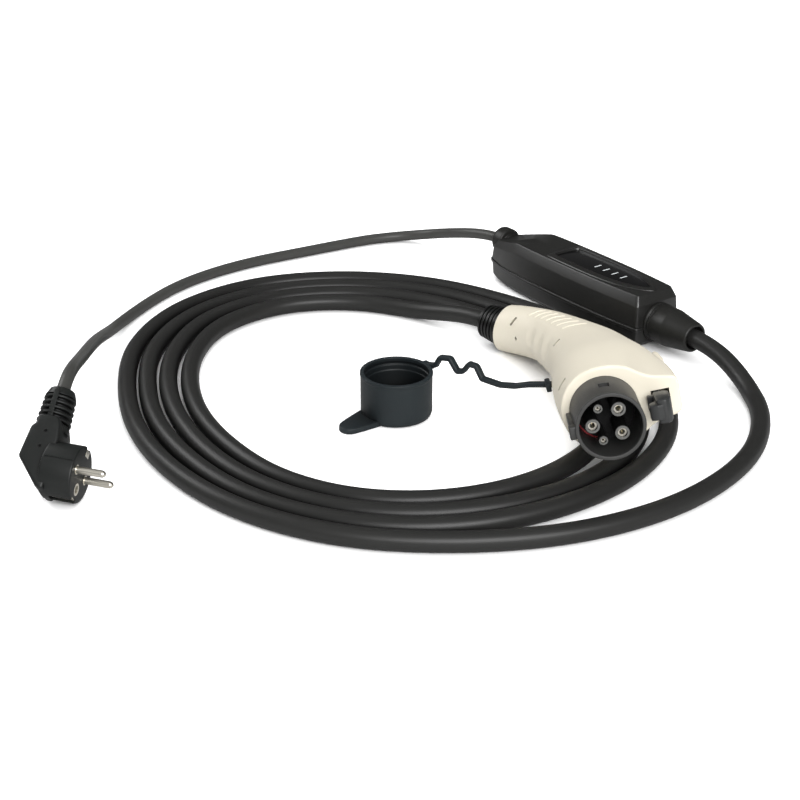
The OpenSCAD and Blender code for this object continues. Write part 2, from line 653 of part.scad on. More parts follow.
// Mains plug: angled body with ribbed bend relief, two round pins, earth socket and earth clips
module in_plug() {
  translate(plug_pos) rotate(plug_turn) children();
}
module in_relief() {
  translate(relief_foot) rotate([0, -relief_lean, 0]) children();
}
module plug_body() {
  r = plug_face_d / 2;
  g = mains_r - grip_in;
  color("#262727") in_plug() difference() {
    union() {
      rotate([0, -90, 0]) rotate_extrude() polygon([[0, 0], [r - 1, 0], [r, 1], [r, 27], [0, 27]]);
      translate([0, 13, 0]) rotate([90, 0, 0]) linear_extrude(26)
        polygon([[-17, -17], [-22, -15.5], [-39, 4], [-41, 9], [-41, 23], [-38.5, 32], [-21, 32],
                 [-18.5, 26], [-17, 17]]);
      in_relief() rotate_extrude() polygon(concat([[g, -2], [11, -2], [11, 0]],
        [for (i = [0:4]) for (q = [0:3])
          [(q == 1 || q == 2 ? 11 : 9) - 0.5 * i, 1 + 4.2 * (i + [0.1, 0.25, 0.75, 0.9][q])]],
        [[8.4, relief_length - 1], [7.6, relief_length], [g, relief_length]]));
      in_relief() translate([-2.4, -9.4, 0]) cube([4.8, 18.8, relief_length - 3]);
    }
    for (y = [-1, 1]) translate([-pin_root, y * pin_spacing / 2, 0]) rotate([0, 90, 0])
      cylinder(r = pin_d / 2 + root_step + fit_gap, h = pin_root + 5);
    translate([-15, 0, -10]) rotate([0, 90, 0]) cylinder(r = 4, h = 20);
    for (z = [-1, 1]) translate([-16, -4, z * (r - 1.5) - 1.7]) cube([17, 8, 3.4]);
    in_relief() translate([0, 0, -14]) cylinder(r = g, h = 60);
  }
}
module plug_pins() {
  r = pin_d / 2;
  color("#d3d0c8") in_plug()
    for (y = [-1, 1]) translate([0, y * pin_spacing / 2, 0]) rotate([0, 90, 0]) rotate_extrude()
      polygon([[0, -pin_root], [r + root_step, -pin_root], [r + root_step, 0], [r, 0], [r, pin_length - 2],
               [r - 0.6, pin_length - 0.8], [r - 1.5, pin_length], [0, pin_length]]);
}
module plug_earth_socket() {
  color("#c6c3b8") in_plug() translate([-15, 0, -10]) rotate([0, 90, 0]) rotate_extrude()
    polygon([[0, 0], [4, 0], [4, 15], [2.5, 15], [2.5, 2], [0, 2]]);
}
module plug_earth_clips() {
  r = plug_face_d / 2;
  color("#c6c3b8") in_plug()
    for (z = [-1, 1]) translate([-16, -3, z * (r - 2.6) - 0.6]) cube([15, 6, 1.2]);
}

box_lower_shell();
box_gasket();
box_upper_shell();
display_panel();
indicator_lenses();
circuit_board();
board_screws();
power_relays();
leakage_sensor();
supply_module();
terminal_block();
status_leds();
led_board();
box_screws();
rubber_feet();
gland_ring();
gland_boot();
mains_grommet();
charging_cable();
mains_cable();
handle_upper();
handle_lower();
handle_screws();
connector_sleeve();
contact_carrier();
power_contacts();
earth_contact();
signal_contacts();
latch_lever();
latch_pin();
release_button();
grip_boot();
connector_cap();
cap_tether();
plug_body();
plug_pins();
plug_earth_socket();
plug_earth_clips();
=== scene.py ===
"""Dresses the frame of a portable car charger: moulded forms, cables, finishes, light and camera.

Each sub-assembly keeps its sizes in millimetres in a frame of its own, and a Pose carries them into the
shared frame in metres. Cable routes are written in metres, as they lie on the floor.
"""
import logging
import math
from dataclasses import dataclass
from enum import Enum
from typing import Sequence

import bmesh
import bpy
import numpy as np
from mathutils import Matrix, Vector


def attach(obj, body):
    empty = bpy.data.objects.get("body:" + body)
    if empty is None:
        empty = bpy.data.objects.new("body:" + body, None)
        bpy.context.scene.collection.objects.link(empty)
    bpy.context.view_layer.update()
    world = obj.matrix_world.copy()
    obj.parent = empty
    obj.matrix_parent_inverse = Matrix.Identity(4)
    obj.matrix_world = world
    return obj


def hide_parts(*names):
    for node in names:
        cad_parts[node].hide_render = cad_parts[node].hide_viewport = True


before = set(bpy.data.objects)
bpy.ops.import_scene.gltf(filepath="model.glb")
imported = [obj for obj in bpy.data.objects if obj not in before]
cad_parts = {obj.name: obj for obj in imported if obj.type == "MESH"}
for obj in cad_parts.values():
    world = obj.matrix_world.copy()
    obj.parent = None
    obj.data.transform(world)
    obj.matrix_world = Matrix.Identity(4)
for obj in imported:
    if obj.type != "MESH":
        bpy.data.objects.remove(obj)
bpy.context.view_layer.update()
MM = 0.001
MERGE = 0.002 * MM
SLIVER = 0.001 * MM
AO_SAMPLES = 8
# A Mix node has several inputs of one name, so its two colours and its result go by number.
MIX_A, MIX_B, MIX_RESULT = 6, 7, 2
LOG = logging.getLogger("charger")
Array = np.ndarray
Pair = tuple[float, float]
Triple = tuple[float, float, float]
Outline = tuple[Pair, ...]
Corners = tuple[Triple, Triple]


class Body(Enum):
    """Moving bodies of the frame that a piece can ride on."""

    SET = "set"
    LATCH = "latch"


class Axis(Enum):
    """Axes that a turn can be about."""

    X = "x"
    Y = "y"
    Z = "z"


class FarEnd(Enum):
    """What a cable ends in."""

    OBJECT = "object"
    PLUG = "plug"


class Lay(Enum):
    """How a cable lies."""

    COILED = "coiled"
    LOOSE = "loose"


def turn(axis: Axis, degrees: float) -> Array:
    """Rotation matrix about one axis.

    Args:
        axis: The axis.
        degrees: Angle, right-handed.
    Returns:
        A 3 by 3 matrix.
    """
    c, s = math.cos(math.radians(degrees)), math.sin(math.radians(degrees))
    return np.array({
        Axis.X: [[1, 0, 0], [0, c, -s], [0, s, c]],
        Axis.Y: [[c, 0, s], [0, 1, 0], [-s, 0, c]],
        Axis.Z: [[c, -s, 0], [s, c, 0], [0, 0, 1]],
    }[axis])


@dataclass(frozen=True)
class Pose:
    """Place of a sub-assembly: its turns in order, then a move in millimetres."""

    position: Triple
    turns: tuple[tuple[Axis, float], ...] = ()

    def world(self, points: Sequence) -> Array:
        """Carries points in millimetres into the shared frame.

        Args:
            points: An n by 3 array in the sub-assembly's own frame.
        Returns:
            The same points in metres.
        """
        moved = np.asarray(points, float)
        for axis, degrees in self.turns:
            moved = moved @ turn(axis, degrees).T
        return (moved + np.array(self.position)) * MM


BOX = Pose((49, 123, 0), ((Axis.Z, -55),))
GUN = Pose((33, -177, 55), ((Axis.Y, -12), (Axis.X, -7)))
CAP = Pose((-99, -73, 0))
PLUG = Pose((-297.8, -199.8, 19.6), ((Axis.X, -50), (Axis.Y, 4.5), (Axis.Z, -12)))
WORLD = Pose((0, 0, 0))

# Places in millimetres that the cables share with the box and the plug.
GLAND_Z = 21
GROMMET_Z = 31
RELIEF_FOOT = (-28, 28.5)
RELIEF_LENGTH = 25.6
RELIEF_LEAN = 2


@dataclass
class Surface:
    """Points in millimetres and the faces between them."""

    points: Array
    faces: list

    def turned(self, axis: Axis, degrees: float) -> "Surface":
        """The surface turned about an axis through the origin."""
        return Surface(self.points @ turn(axis, degrees).T, self.faces)

    def shifted(self, x: float = 0, y: float = 0, z: float = 0) -> "Surface":
        """The surface moved by x, y and z."""
        return Surface(self.points + np.array([x, y, z]), self.faces)

    def joined(self, *others: "Surface") -> "Surface":
        """This surface and others as one.

        Args:
            others: Surfaces in the same frame.
        Returns:
            All their points and faces, in that order.
        """
        points, faces = self.points, list(self.faces)
        for other in others:
            faces += [[i + len(points) for i in f] for f in other.faces]
            points = np.vstack([points, other.points])
        return Surface(points, faces)


def grid(points: Array, wrap: bool = True) -> Surface:
    """Faces between neighbouring points of a grid.

    Args:
        points: rows by columns by 3 array.
        wrap: Whether the last column joins the first.
    Returns:
        The surface, each face running (i, j), (i, j+1), (i+1, j+1), (i+1, j).
    """
    rows, cols = points.shape[:2]
    i, j = np.meshgrid(np.arange(rows - 1), np.arange(cols if wrap else cols - 1), indexing="ij")
    k = (j + 1) % cols
    quads = np.stack([i * cols + j, i * cols + k, (i + 1) * cols + k, (i + 1) * cols + j], -1)
    return Surface(points.reshape(-1, 3), quads.reshape(-1, 4).tolist())


def rounded(corners: Sequence, radius: float, steps: int = 5) -> Array:
    """Softens an open line.

    Each inner corner becomes a quadratic curve that starts and ends radius away from it.

    Args:
        corners: n by 2 points.
        radius: Distance cut off each side, at most half an edge.
        steps: Points on each curve.
    Returns:
        The softened line.
    """
    p = np.asarray(corners, float)
    back, ahead = p[:-2] - p[1:-1], p[2:] - p[1:-1]
    cut = [np.minimum(radius / np.linalg.norm(e, axis=1), 0.5)[:, None] * e for e in (back, ahead)]
    t = np.linspace(0, 1, steps)[None, :, None]
    mid = p[1:-1][:, None]
    arcs = (1 - t) ** 2 * (mid + cut[0][:, None]) + 2 * t * (1 - t) * mid + t ** 2 * (mid + cut[1][:, None])
    return np.vstack([p[:1], arcs.reshape(-1, p.shape[1]), p[-1:]])


def softened(outline: Sequence, cuts: int) -> Array:
    """Rounds a closed outline by cutting every corner at a quarter of its edges, several times over.

    Args:
        outline: n by 2 points.
        cuts: How many times the corners are cut.
    Returns:
        The outline, with twice as many points after each cut.
    """
    p = np.asarray(outline, float)
    for _ in range(cuts):
        ahead = np.roll(p, -1, axis=0)
        p = np.stack([0.75 * p + 0.25 * ahead, 0.25 * p + 0.75 * ahead], 1).reshape(-1, p.shape[1])
    return p


def revolved(profile: Sequence, sides: int = 72) -> Surface:
    """Turns a profile about Z: each point is (r cos a, r sin a, h).

    Args:
        profile: Points of (radius, height).
        sides: Columns round the axis.
    Returns:
        The surface, closed where the profile ends where it starts or on the axis.
    """
    p = np.asarray(profile, float)
    a = np.linspace(0, 2 * np.pi, sides, endpoint=False)
    r, h = p[:, :1], np.repeat(p[:, 1:], sides, 1)
    return grid(np.stack([r * np.cos(a), r * np.sin(a), h], -1))


def prism(outline: Sequence, low: float, high: float) -> Surface:
    """Draws an outline along Z and closes both ends.

    Args:
        outline: Points of (x, y).
        low: Height of the lower end.
        high: Height of the upper end.
    Returns:
        The closed surface.
    """
    p = np.asarray(outline, float)
    n = len(p)
    rows = np.stack([np.column_stack([p, np.full(n, z)]) for z in (low, high)])
    ends = [list(range(n))[::-1], list(range(n, 2 * n))]
    side = grid(rows)
    return Surface(side.points, side.faces + ends)


def brick(low: Sequence, high: Sequence) -> Surface:
    """A box between two corners, as a prism of its plan."""
    (x0, y0, z0), (x1, y1, z1) = low, high
    return prism([(x0, y0), (x1, y0), (x1, y1), (x0, y1)], z0, z1)


def swept(path: Array, section: Array, up: Sequence = (0, 0, 1)) -> Surface:
    """Carries a closed section along a path.

    A section point (p, q) lands at path + p * side + q * over, where side is up x tangent and over is
    tangent x side.

    Args:
        path: n by 3 points.
        section: m by 2 points, or n by m by 2 where it changes along the path.
        up: Direction that over leans to.
    Returns:
        The tube with both ends closed.
    """
    tangent = np.gradient(path, axis=0)
    tangent /= np.linalg.norm(tangent, axis=1, keepdims=True)
    side = np.cross(np.asarray(up, float), tangent)
    side /= np.linalg.norm(side, axis=1, keepdims=True)
    over = np.cross(tangent, side)
    section = np.broadcast_to(section, (len(path),) + np.shape(section)[-2:])
    rings = path[:, None] + section[..., :1] * side[:, None] + section[..., 1:] * over[:, None]
    tube, m = grid(rings), section.shape[1]
    last = len(tube.points) - m
    ends = [list(range(m))[::-1], list(range(last, last + m))]
    return Surface(tube.points, tube.faces + ends)


def ring_section(radius: float, sides: int) -> Array:
    """A round section of the given radius."""
    a = np.linspace(0, 2 * np.pi, sides, endpoint=False)
    return radius * np.column_stack([np.cos(a), np.sin(a)])


def slab_section(width: float, height: float, power: float = 4, sides: int = 24) -> Array:
    """A rounded flat section: a superellipse |2 p / width|^power + |2 q / height|^power = 1.

    Args:
        width: Full width.
        height: Full height.
        power: How square it is; 2 is an ellipse.
        sides: Points round it.
    Returns:
        The section, sides by 2.
    """
    a = np.linspace(0, 2 * np.pi, sides, endpoint=False)
    unit = np.column_stack([np.cos(a), np.sin(a)])
    return np.array([width, height]) / 2 * np.sign(unit) * np.abs(unit) ** (2 / power)


def ribbed(radius: float, taper: float, start: float, pitch: float, marks: Sequence[float]) -> list[Pair]:
    """Profile of five moulded ribs: each one leaves its groove, runs along its top and goes back in.

    Args:
        radius: Radius of the first rib.
        taper: How much smaller each next rib is.
        start: Height where the first pitch starts.
        pitch: Distance from rib to rib.
        marks: Shares of a pitch at which a rib starts, is up, goes down and ends.
    Returns:
        Points of (radius, height).
    """
    groove, count = 2.6, 5
    drops = (groove, 0, 0, groove)
    return [(radius - taper * i - drop, start + pitch * (i + mark))
            for i in range(count) for mark, drop in zip(marks, drops)]


def smooth_route(points: Sequence, step: float, ease: float) -> Array:
    """A smooth line through given points: a cubic by chord length, then a Gaussian mean along it.

    Args:
        points: n by 3 points.
        step: Distance between the samples.
        ease: Width of the mean.
    Returns:
        The samples, with the ends where they were.
    """
    p = np.asarray(points, float)
    s = np.concatenate([[0], np.cumsum(np.linalg.norm(np.diff(p, axis=0), axis=1))])
    slope = np.gradient(p, s, axis=0)
    at = np.linspace(0, s[-1], int(s[-1] / step) + 1)
    i = np.clip(np.searchsorted(s, at, side="right") - 1, 0, len(p) - 2)
    h = (s[i + 1] - s[i])[:, None]
    t = (at - s[i])[:, None] / h
    line = ((2 * t ** 3 - 3 * t ** 2 + 1) * p[i] + (t ** 3 - 2 * t ** 2 + t) * h * slope[i]
            + (3 * t ** 2 - 2 * t ** 3) * p[i + 1] + (t ** 3 - t ** 2) * h * slope[i + 1])
    reach = int(3 * ease / step)
    weight = np.exp(-0.5 * (np.arange(-reach, reach + 1) * step / ease) ** 2)
    weight /= weight.sum()
    padded = np.vstack([2 * line[0] - line[reach:0:-1], line, 2 * line[-1] - line[-2:-reach - 2:-1]])
    return np.column_stack([np.convolve(padded[:, k], weight, "valid") for k in range(3)])


def linear(hex_colour: str) -> tuple[float, float, float, float]:
    """Turns an sRGB hex colour into linear RGBA.

    Args:
        hex_colour: A # and six digits.
    Returns:
        Red, green, blue and a full alpha.
    """
    srgb = np.array([int(hex_colour[i:i + 2], 16) for i in (1, 3, 5)]) / 255
    rgb = np.where(srgb <= 0.04045, srgb / 12.92, ((srgb + 0.055) / 1.055) ** 2.4)
    return (*rgb.tolist(), 1.0)


def add(tree: bpy.types.NodeTree, kind: str, inputs: dict | None = None, **settings) -> bpy.types.Node:
    """Adds a node to a tree.

    Args:
        tree: Node tree of a material or the world.
        kind: Blender's name of the node.
        inputs: Values by socket name or index; a socket is linked, anything else is set.
        settings: Attributes of the node.
    Returns:
        The new node.
    """
    node = tree.nodes.new(kind)
    for key, value in settings.items():
        setattr(node, key, value)
    for key, value in (inputs or {}).items():
        if isinstance(value, bpy.types.NodeSocket):
            tree.links.new(value, node.inputs[key])
        else:
            node.inputs[key].default_value = value
    return node


def painted_recess_shade(tree: bpy.types.NodeTree, colour: bpy.types.NodeSocket, reach_mm: float,
             depth: float) -> bpy.types.NodeSocket:
    """Paints shade into a colour where the piece's own surface closes in on it.

    Args:
        tree: Node tree of the material.
        colour: The colour in the open.
        reach_mm: How near the other surface has to be.
        depth: Share of the colour that the painted shade takes in the deepest recess.
    Returns:
        The darkened colour.
    """
    shut = 0.3
    # Ambient occlusion sets how much painted shade darkens the colour.
    open_sky = add(tree, "ShaderNodeAmbientOcclusion", {"Distance": reach_mm * MM}, samples=AO_SAMPLES,
                   only_local=True)
    share = add(tree, "ShaderNodeMapRange", {
        "Value": open_sky.outputs["AO"], "From Min": shut, "To Min": 1 - depth, "To Max": 1.0})
    mixed = add(tree, "ShaderNodeMix", {
        "Factor": share.outputs["Result"], MIX_A: linear("#000000"), MIX_B: colour}, data_type="RGBA")
    return mixed.outputs[MIX_RESULT]


def blank_material(name: str) -> bpy.types.Material:
    """An empty node material.

    Args:
        name: Its name.
    Returns:
        The material, with no node in its tree.
    """
    material = bpy.data.materials.new(name)
    material.use_nodes = True
    material.node_tree.nodes.clear()
    return material


@dataclass(frozen=True)
class Moulded:
    """Moulded plastic or rubber: one colour that clouds a little, a fine eroded grain and a soft sheen.

    Grain and cloud are real sizes in millimetres. The grain is drawn coarser than a real mould's, so that
    it shows.
    """

    name: str
    colour: str
    shade: str
    roughness: float = 0.5
    specular: float = 0.4
    grain_mm: float = 0.9
    relief_mm: float = 0.03
    cloud_mm: float = 26
    coat: float = 0
    # Painted shade in recesses: the share of colour it takes in the deepest one, and how near the closing
    # surface must be.
    depth: float = 0.6
    reach_mm: float = 8
    uneven: float = 0.06

    def material(self) -> bpy.types.Material:
        """Builds the material: clouds mix the two colours, painted shade darkens recesses, the grain is bump.

        Returns:
            The new material.
        """
        material = blank_material(self.name)
        tree = material.node_tree
        place = add(tree, "ShaderNodeTexCoord").outputs["Object"]
        cloud = add(tree, "ShaderNodeTexNoise", {
            "Vector": place, "Scale": 1 / (self.cloud_mm * MM), "Detail": 4.0})
        grain = add(tree, "ShaderNodeTexNoise", {
            "Vector": place, "Scale": 1 / (self.grain_mm * MM), "Detail": 2.0})
        tint = add(tree, "ShaderNodeMix", {
            "Factor": cloud.outputs["Fac"], MIX_A: linear(self.colour), MIX_B: linear(self.shade)},
            data_type="RGBA")
        rough = add(tree, "ShaderNodeMapRange", {
            "Value": grain.outputs["Fac"], "To Min": self.roughness - self.uneven,
            "To Max": self.roughness + self.uneven})
        bump = add(tree, "ShaderNodeBump", {
            "Height": grain.outputs["Fac"], "Strength": 0.5, "Distance": self.relief_mm * MM})
        shader = add(tree, "ShaderNodeBsdfPrincipled", {
            "Base Color": painted_recess_shade(tree, tint.outputs[MIX_RESULT], self.reach_mm, self.depth),
            "Roughness": rough.outputs["Result"], "Normal": bump.outputs["Normal"],
            "Specular IOR Level": self.specular, "Coat Weight": self.coat, "Coat Roughness": 0.08})
        add(tree, "ShaderNodeOutputMaterial", {"Surface": shader.outputs["BSDF"]})
        return material


@dataclass(frozen=True)
class Jacket:
    """Extruded rubber cable jacket: faint lines along the cable, dusty clouds and a low sheen on top.

    Lines and dust are real sizes in millimetres. The lines are drawn coarser than a real die's, so that they
    show.
    """

    name: str
    colour: str
    shade: str
    roughness: float = 0.5
    line_mm: float = 1.6
    line_length_mm: float = 160
    relief_mm: float = 0.12
    dust_mm: float = 45
    # Painted shade where the cable's own turns close in: the share of colour it takes, and how near in
    # millimetres.
    depth: float = 0.9
    reach_mm: float = 9
    specular: float = 0.35
    uneven: float = 0.08

    def material(self) -> bpy.types.Material:
        """Builds the material on the cable's straightened coordinates, so that its lines follow every bend.

        Returns:
            The new material.
        """
        material = blank_material(self.name)
        tree = material.node_tree
        place = add(tree, "ShaderNodeAttribute", attribute_name="straight").outputs["Vector"]
        across, along = 1 / (self.line_mm * MM), 1 / (self.line_length_mm * MM)
        stretch = add(tree, "ShaderNodeMapping", {"Vector": place, "Scale": (across, across, along)})
        lines = add(tree, "ShaderNodeTexNoise", {
            "Vector": stretch.outputs["Vector"], "Scale": 1.0, "Detail": 3.0})
        dust = add(tree, "ShaderNodeTexNoise", {
            "Vector": place, "Scale": 1 / (self.dust_mm * MM), "Detail": 5.0})
        tint = add(tree, "ShaderNodeMix", {
            "Factor": dust.outputs["Fac"], MIX_A: linear(self.colour), MIX_B: linear(self.shade)},
            data_type="RGBA")
        rough = add(tree, "ShaderNodeMapRange", {
            "Value": lines.outputs["Fac"], "To Min": self.roughness - self.uneven,
            "To Max": self.roughness + self.uneven})
        bump = add(tree, "ShaderNodeBump", {
            "Height": lines.outputs["Fac"], "Strength": 0.35, "Distance": self.relief_mm * MM})
        shader = add(tree, "ShaderNodeBsdfPrincipled", {
            "Base Color": painted_recess_shade(tree, tint.outputs[MIX_RESULT], self.reach_mm, self.depth),
            "Roughness": rough.outputs["Result"], "Normal": bump.outputs["Normal"],
            "Specular IOR Level": self.specular})
        add(tree, "ShaderNodeOutputMaterial", {"Surface": shader.outputs["BSDF"]})
        return material


@dataclass(frozen=True)
class Plated:
    """Turned and plated metal: bright, with fine marks that spread the highlight.

    The marks are drawn coarser than real ones, so that they show.
    """

    name: str
    colour: str
    roughness: float
    mark_mm: float = 0.5
    relief_mm: float = 0.02
    smoother: float = 0.08
    rougher: float = 0.1

    def material(self) -> bpy.types.Material:
        """Builds the material: the marks vary the roughness and lift the surface a little.

        Returns:
            The new material.
        """
        material = blank_material(self.name)
        tree = material.node_tree
        place = add(tree, "ShaderNodeTexCoord").outputs["Object"]
        marks = add(tree, "ShaderNodeTexNoise", {
            "Vector": place, "Scale": 1 / (self.mark_mm * MM), "Detail": 3.0})
        rough = add(tree, "ShaderNodeMapRange", {
            "Value": marks.outputs["Fac"], "To Min": self.roughness - self.smoother,
            "To Max": self.roughness + self.rougher})
        bump = add(tree, "ShaderNodeBump", {
            "Height": marks.outputs["Fac"], "Strength": 0.08, "Distance": self.relief_mm * MM})
        shader = add(tree, "ShaderNodeBsdfPrincipled", {
            "Base Color": linear(self.colour), "Metallic": 1.0, "Roughness": rough.outputs["Result"],
            "Normal": bump.outputs["Normal"]})
        add(tree, "ShaderNodeOutputMaterial", {"Surface": shader.outputs["BSDF"]})
        return material


class Finish(Enum):
    """Finishes of the charger, each built once; the comments say what each gives the eye."""

    # Spark-eroded mould: near black, with a fine grain that spreads the light into a soft sheen.
    BOX_SHELL = Moulded("eroded_black_polycarbonate", "#171716", "#1d1d1b", 0.4, 0.9)
    # Polished: deep black under a thin clear coat, with crisp reflections.
    PANEL = Moulded("polished_black_acrylic", "#040405", "#060607", 0.14, 0.5, 2.0, 0.004, coat=0.3)
    # Moulded milky, so that the light windows read as white dashes.
    LENS = Moulded("moulded_milky_acrylic", "#eef2f3", "#dfe5e7", 0.3, 0.5)
    # Pressed and lacquered: flat green with a slight shine.
    BOARD = Moulded("lacquered_glass_fibre_board", "#2f5d3a", "#2a5233", 0.4)
    # Moulded case: dull dark blue.
    RELAY = Moulded("moulded_blue_polyester", "#2b3a55", "#27344c", 0.45)
    # Cast: dull black with a grey bloom.
    BLOCK = Moulded("cast_black_epoxy", "#222224", "#2a2a2c", 0.5)
    # Pressed in a smooth mould: the darkest black, with a line of light on rounded edges.
    SEAL = Moulded("moulded_black_rubber", "#0e0e0e", "#131313", 0.3, 0.6)
    # Moulded: black that greys where the light falls on it.
    GLAND = Moulded("moulded_black_polyamide", "#1b1b19", "#21211f", 0.42, 0.4)
    # Satin mould: warm ivory, nearly even, with painted shade in its slots and seams only.
    HANDLE = Moulded("satin_moulded_ivory_abs", "#e1dac9", "#dbd4c2", 0.42, 0.4, 1.0, 0.02, reach_mm=3)
    # Moulded: dark grey outside, with painted shade that turns it black down the bore.
    SLEEVE = Moulded("moulded_dark_grey_polyamide", "#333332", "#3a3a39", 0.45, 0.4, reach_mm=30, depth=0.9)
    # Moulded with glass: black and dull, so that the contacts stand out from it.
    CARRIER = Moulded("moulded_black_glass_filled_polyamide", "#070707", "#0a0a0a", 0.55, 0.25)
    # The same black plastic drawn grey: a painted highlight on the front rims of the contact towers.
    TOWER = Moulded("grey_painted_highlight_polyamide", "#545452", "#5e5e5c", 0.45, 0.35)
    # Hard and slippery: dark grey with a clear highlight along its edges, and painted shade in its hollows.
    LATCH = Moulded("moulded_black_acetal", "#2a2b2b", "#313232", 0.36, 0.55, reach_mm=14, depth=0.9)
    # Soft and dry: bluish charcoal, with painted shade that turns it black deep inside the cap.
    CAP = Moulded("moulded_charcoal_rubber", "#1c2225", "#22292c", 0.5, 0.35, 1.1, 0.04, depth=1.0,
                  reach_mm=40)
    # Soft and matt: black that greys on the round drum, with painted shade in the grooves between the ribs.
    PLUG = Moulded("moulded_black_soft_vinyl", "#171918", "#1d1f1e", 0.45, 0.35, reach_mm=4, depth=0.9)
    # Pressed: a dull red line.
    SILICONE = Moulded("moulded_red_silicone", "#8e2a2e", "#7d2428", 0.5, 0.4)
    # Extruded: dark grey with one long highlight on each turn, and painted shade between the turns.
    CABLE = Jacket("extruded_dark_rubber", "#20201f", "#282827", 0.42)
    # Extruded thinner: a paler, dustier grey.
    MAINS = Jacket("extruded_grey_rubber", "#3b3b39", "#434341", 0.4, 1.2)
    # Satin plating: pale warm metal with a broad highlight.
    NICKEL = Plated("nickel_plated_brass", "#efeadd", 0.36)
    # Zinc plating: cool grey metal, duller than the nickel.
    STEEL = Plated("zinc_plated_steel", "#b4b6b8", 0.34)

    def material(self) -> bpy.types.Material:
        """The finish's material, built at its first use."""
        return bpy.data.materials.get(self.value.name) or self.value.material()


NODE_FINISHES = {
    Finish.BOX_SHELL: ("box_lower_shell", "box_upper_shell"),
    Finish.PANEL: ("display_panel",),
    Finish.LENS: ("indicator_lenses", "status_leds"),
    Finish.BOARD: ("circuit_board", "led_board", "terminal_block"),
    Finish.RELAY: ("power_relays",),
    Finish.BLOCK: ("leakage_sensor", "supply_module"),
    Finish.SEAL: ("box_gasket", "rubber_feet", "grip_boot"),
    Finish.GLAND: ("gland_ring", "gland_boot", "mains_grommet"),
    Finish.HANDLE: ("handle_upper", "handle_lower", "release_button"),
    Finish.SLEEVE: ("connector_sleeve",),
    Finish.CARRIER: ("contact_carrier",),
    Finish.LATCH: ("latch_lever",),
    Finish.CAP: ("connector_cap", "cap_tether"),
    Finish.PLUG: ("plug_body",),
    Finish.CABLE: ("charging_cable",),
    Finish.MAINS: ("mains_cable",),
    Finish.NICKEL: ("power_contacts", "earth_contact", "signal_contacts", "plug_pins", "plug_earth_socket",
                    "plug_earth_clips"),
    Finish.STEEL: ("board_screws", "box_screws", "handle_screws", "latch_pin"),
}


def dress_frame() -> None:
    """Gives every node of the frame its finish."""
    for finish, names in NODE_FINISHES.items():
        for name in names:
            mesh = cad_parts[name].data
            mesh.materials.clear()
            mesh.materials.append(finish.material())
    LOG.info("dressed %d nodes of the frame", len(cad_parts))


def placed(name: str, data: bpy.types.ID) -> bpy.types.Object:
    """Links a new object to the scene.

    Args:
        name: Name of the object.
        data: Its mesh, lamp or camera.
    Returns:
        The object.
    """
    obj = bpy.data.objects.new(name, data)
    bpy.context.scene.collection.objects.link(obj)
    return obj


def dressed(name: str, mesh: bpy.types.Mesh, finish: Finish, replaces: Sequence[str], body: Body,
            sharp: float) -> bpy.types.Object:
    """Smooths a mesh, gives it its finish and hands it to its body.

    Args:
        name: Name of the piece.
        mesh: Its mesh in metres.
        finish: What it is made of.
        replaces: Nodes of the frame that it stands for.
        body: Body that it rides on.
        sharp: Angle in degrees above which an edge stays crisp.
    Returns:
        The piece's object.
    """
    mesh.shade_smooth()
    mesh.set_sharp_from_angle(angle=math.radians(sharp))
    mesh.materials.clear()
    mesh.materials.append(finish.material())
    obj = placed(name, mesh)
    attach(obj, body.value)
    if replaces:
        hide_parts(*replaces)
    return obj


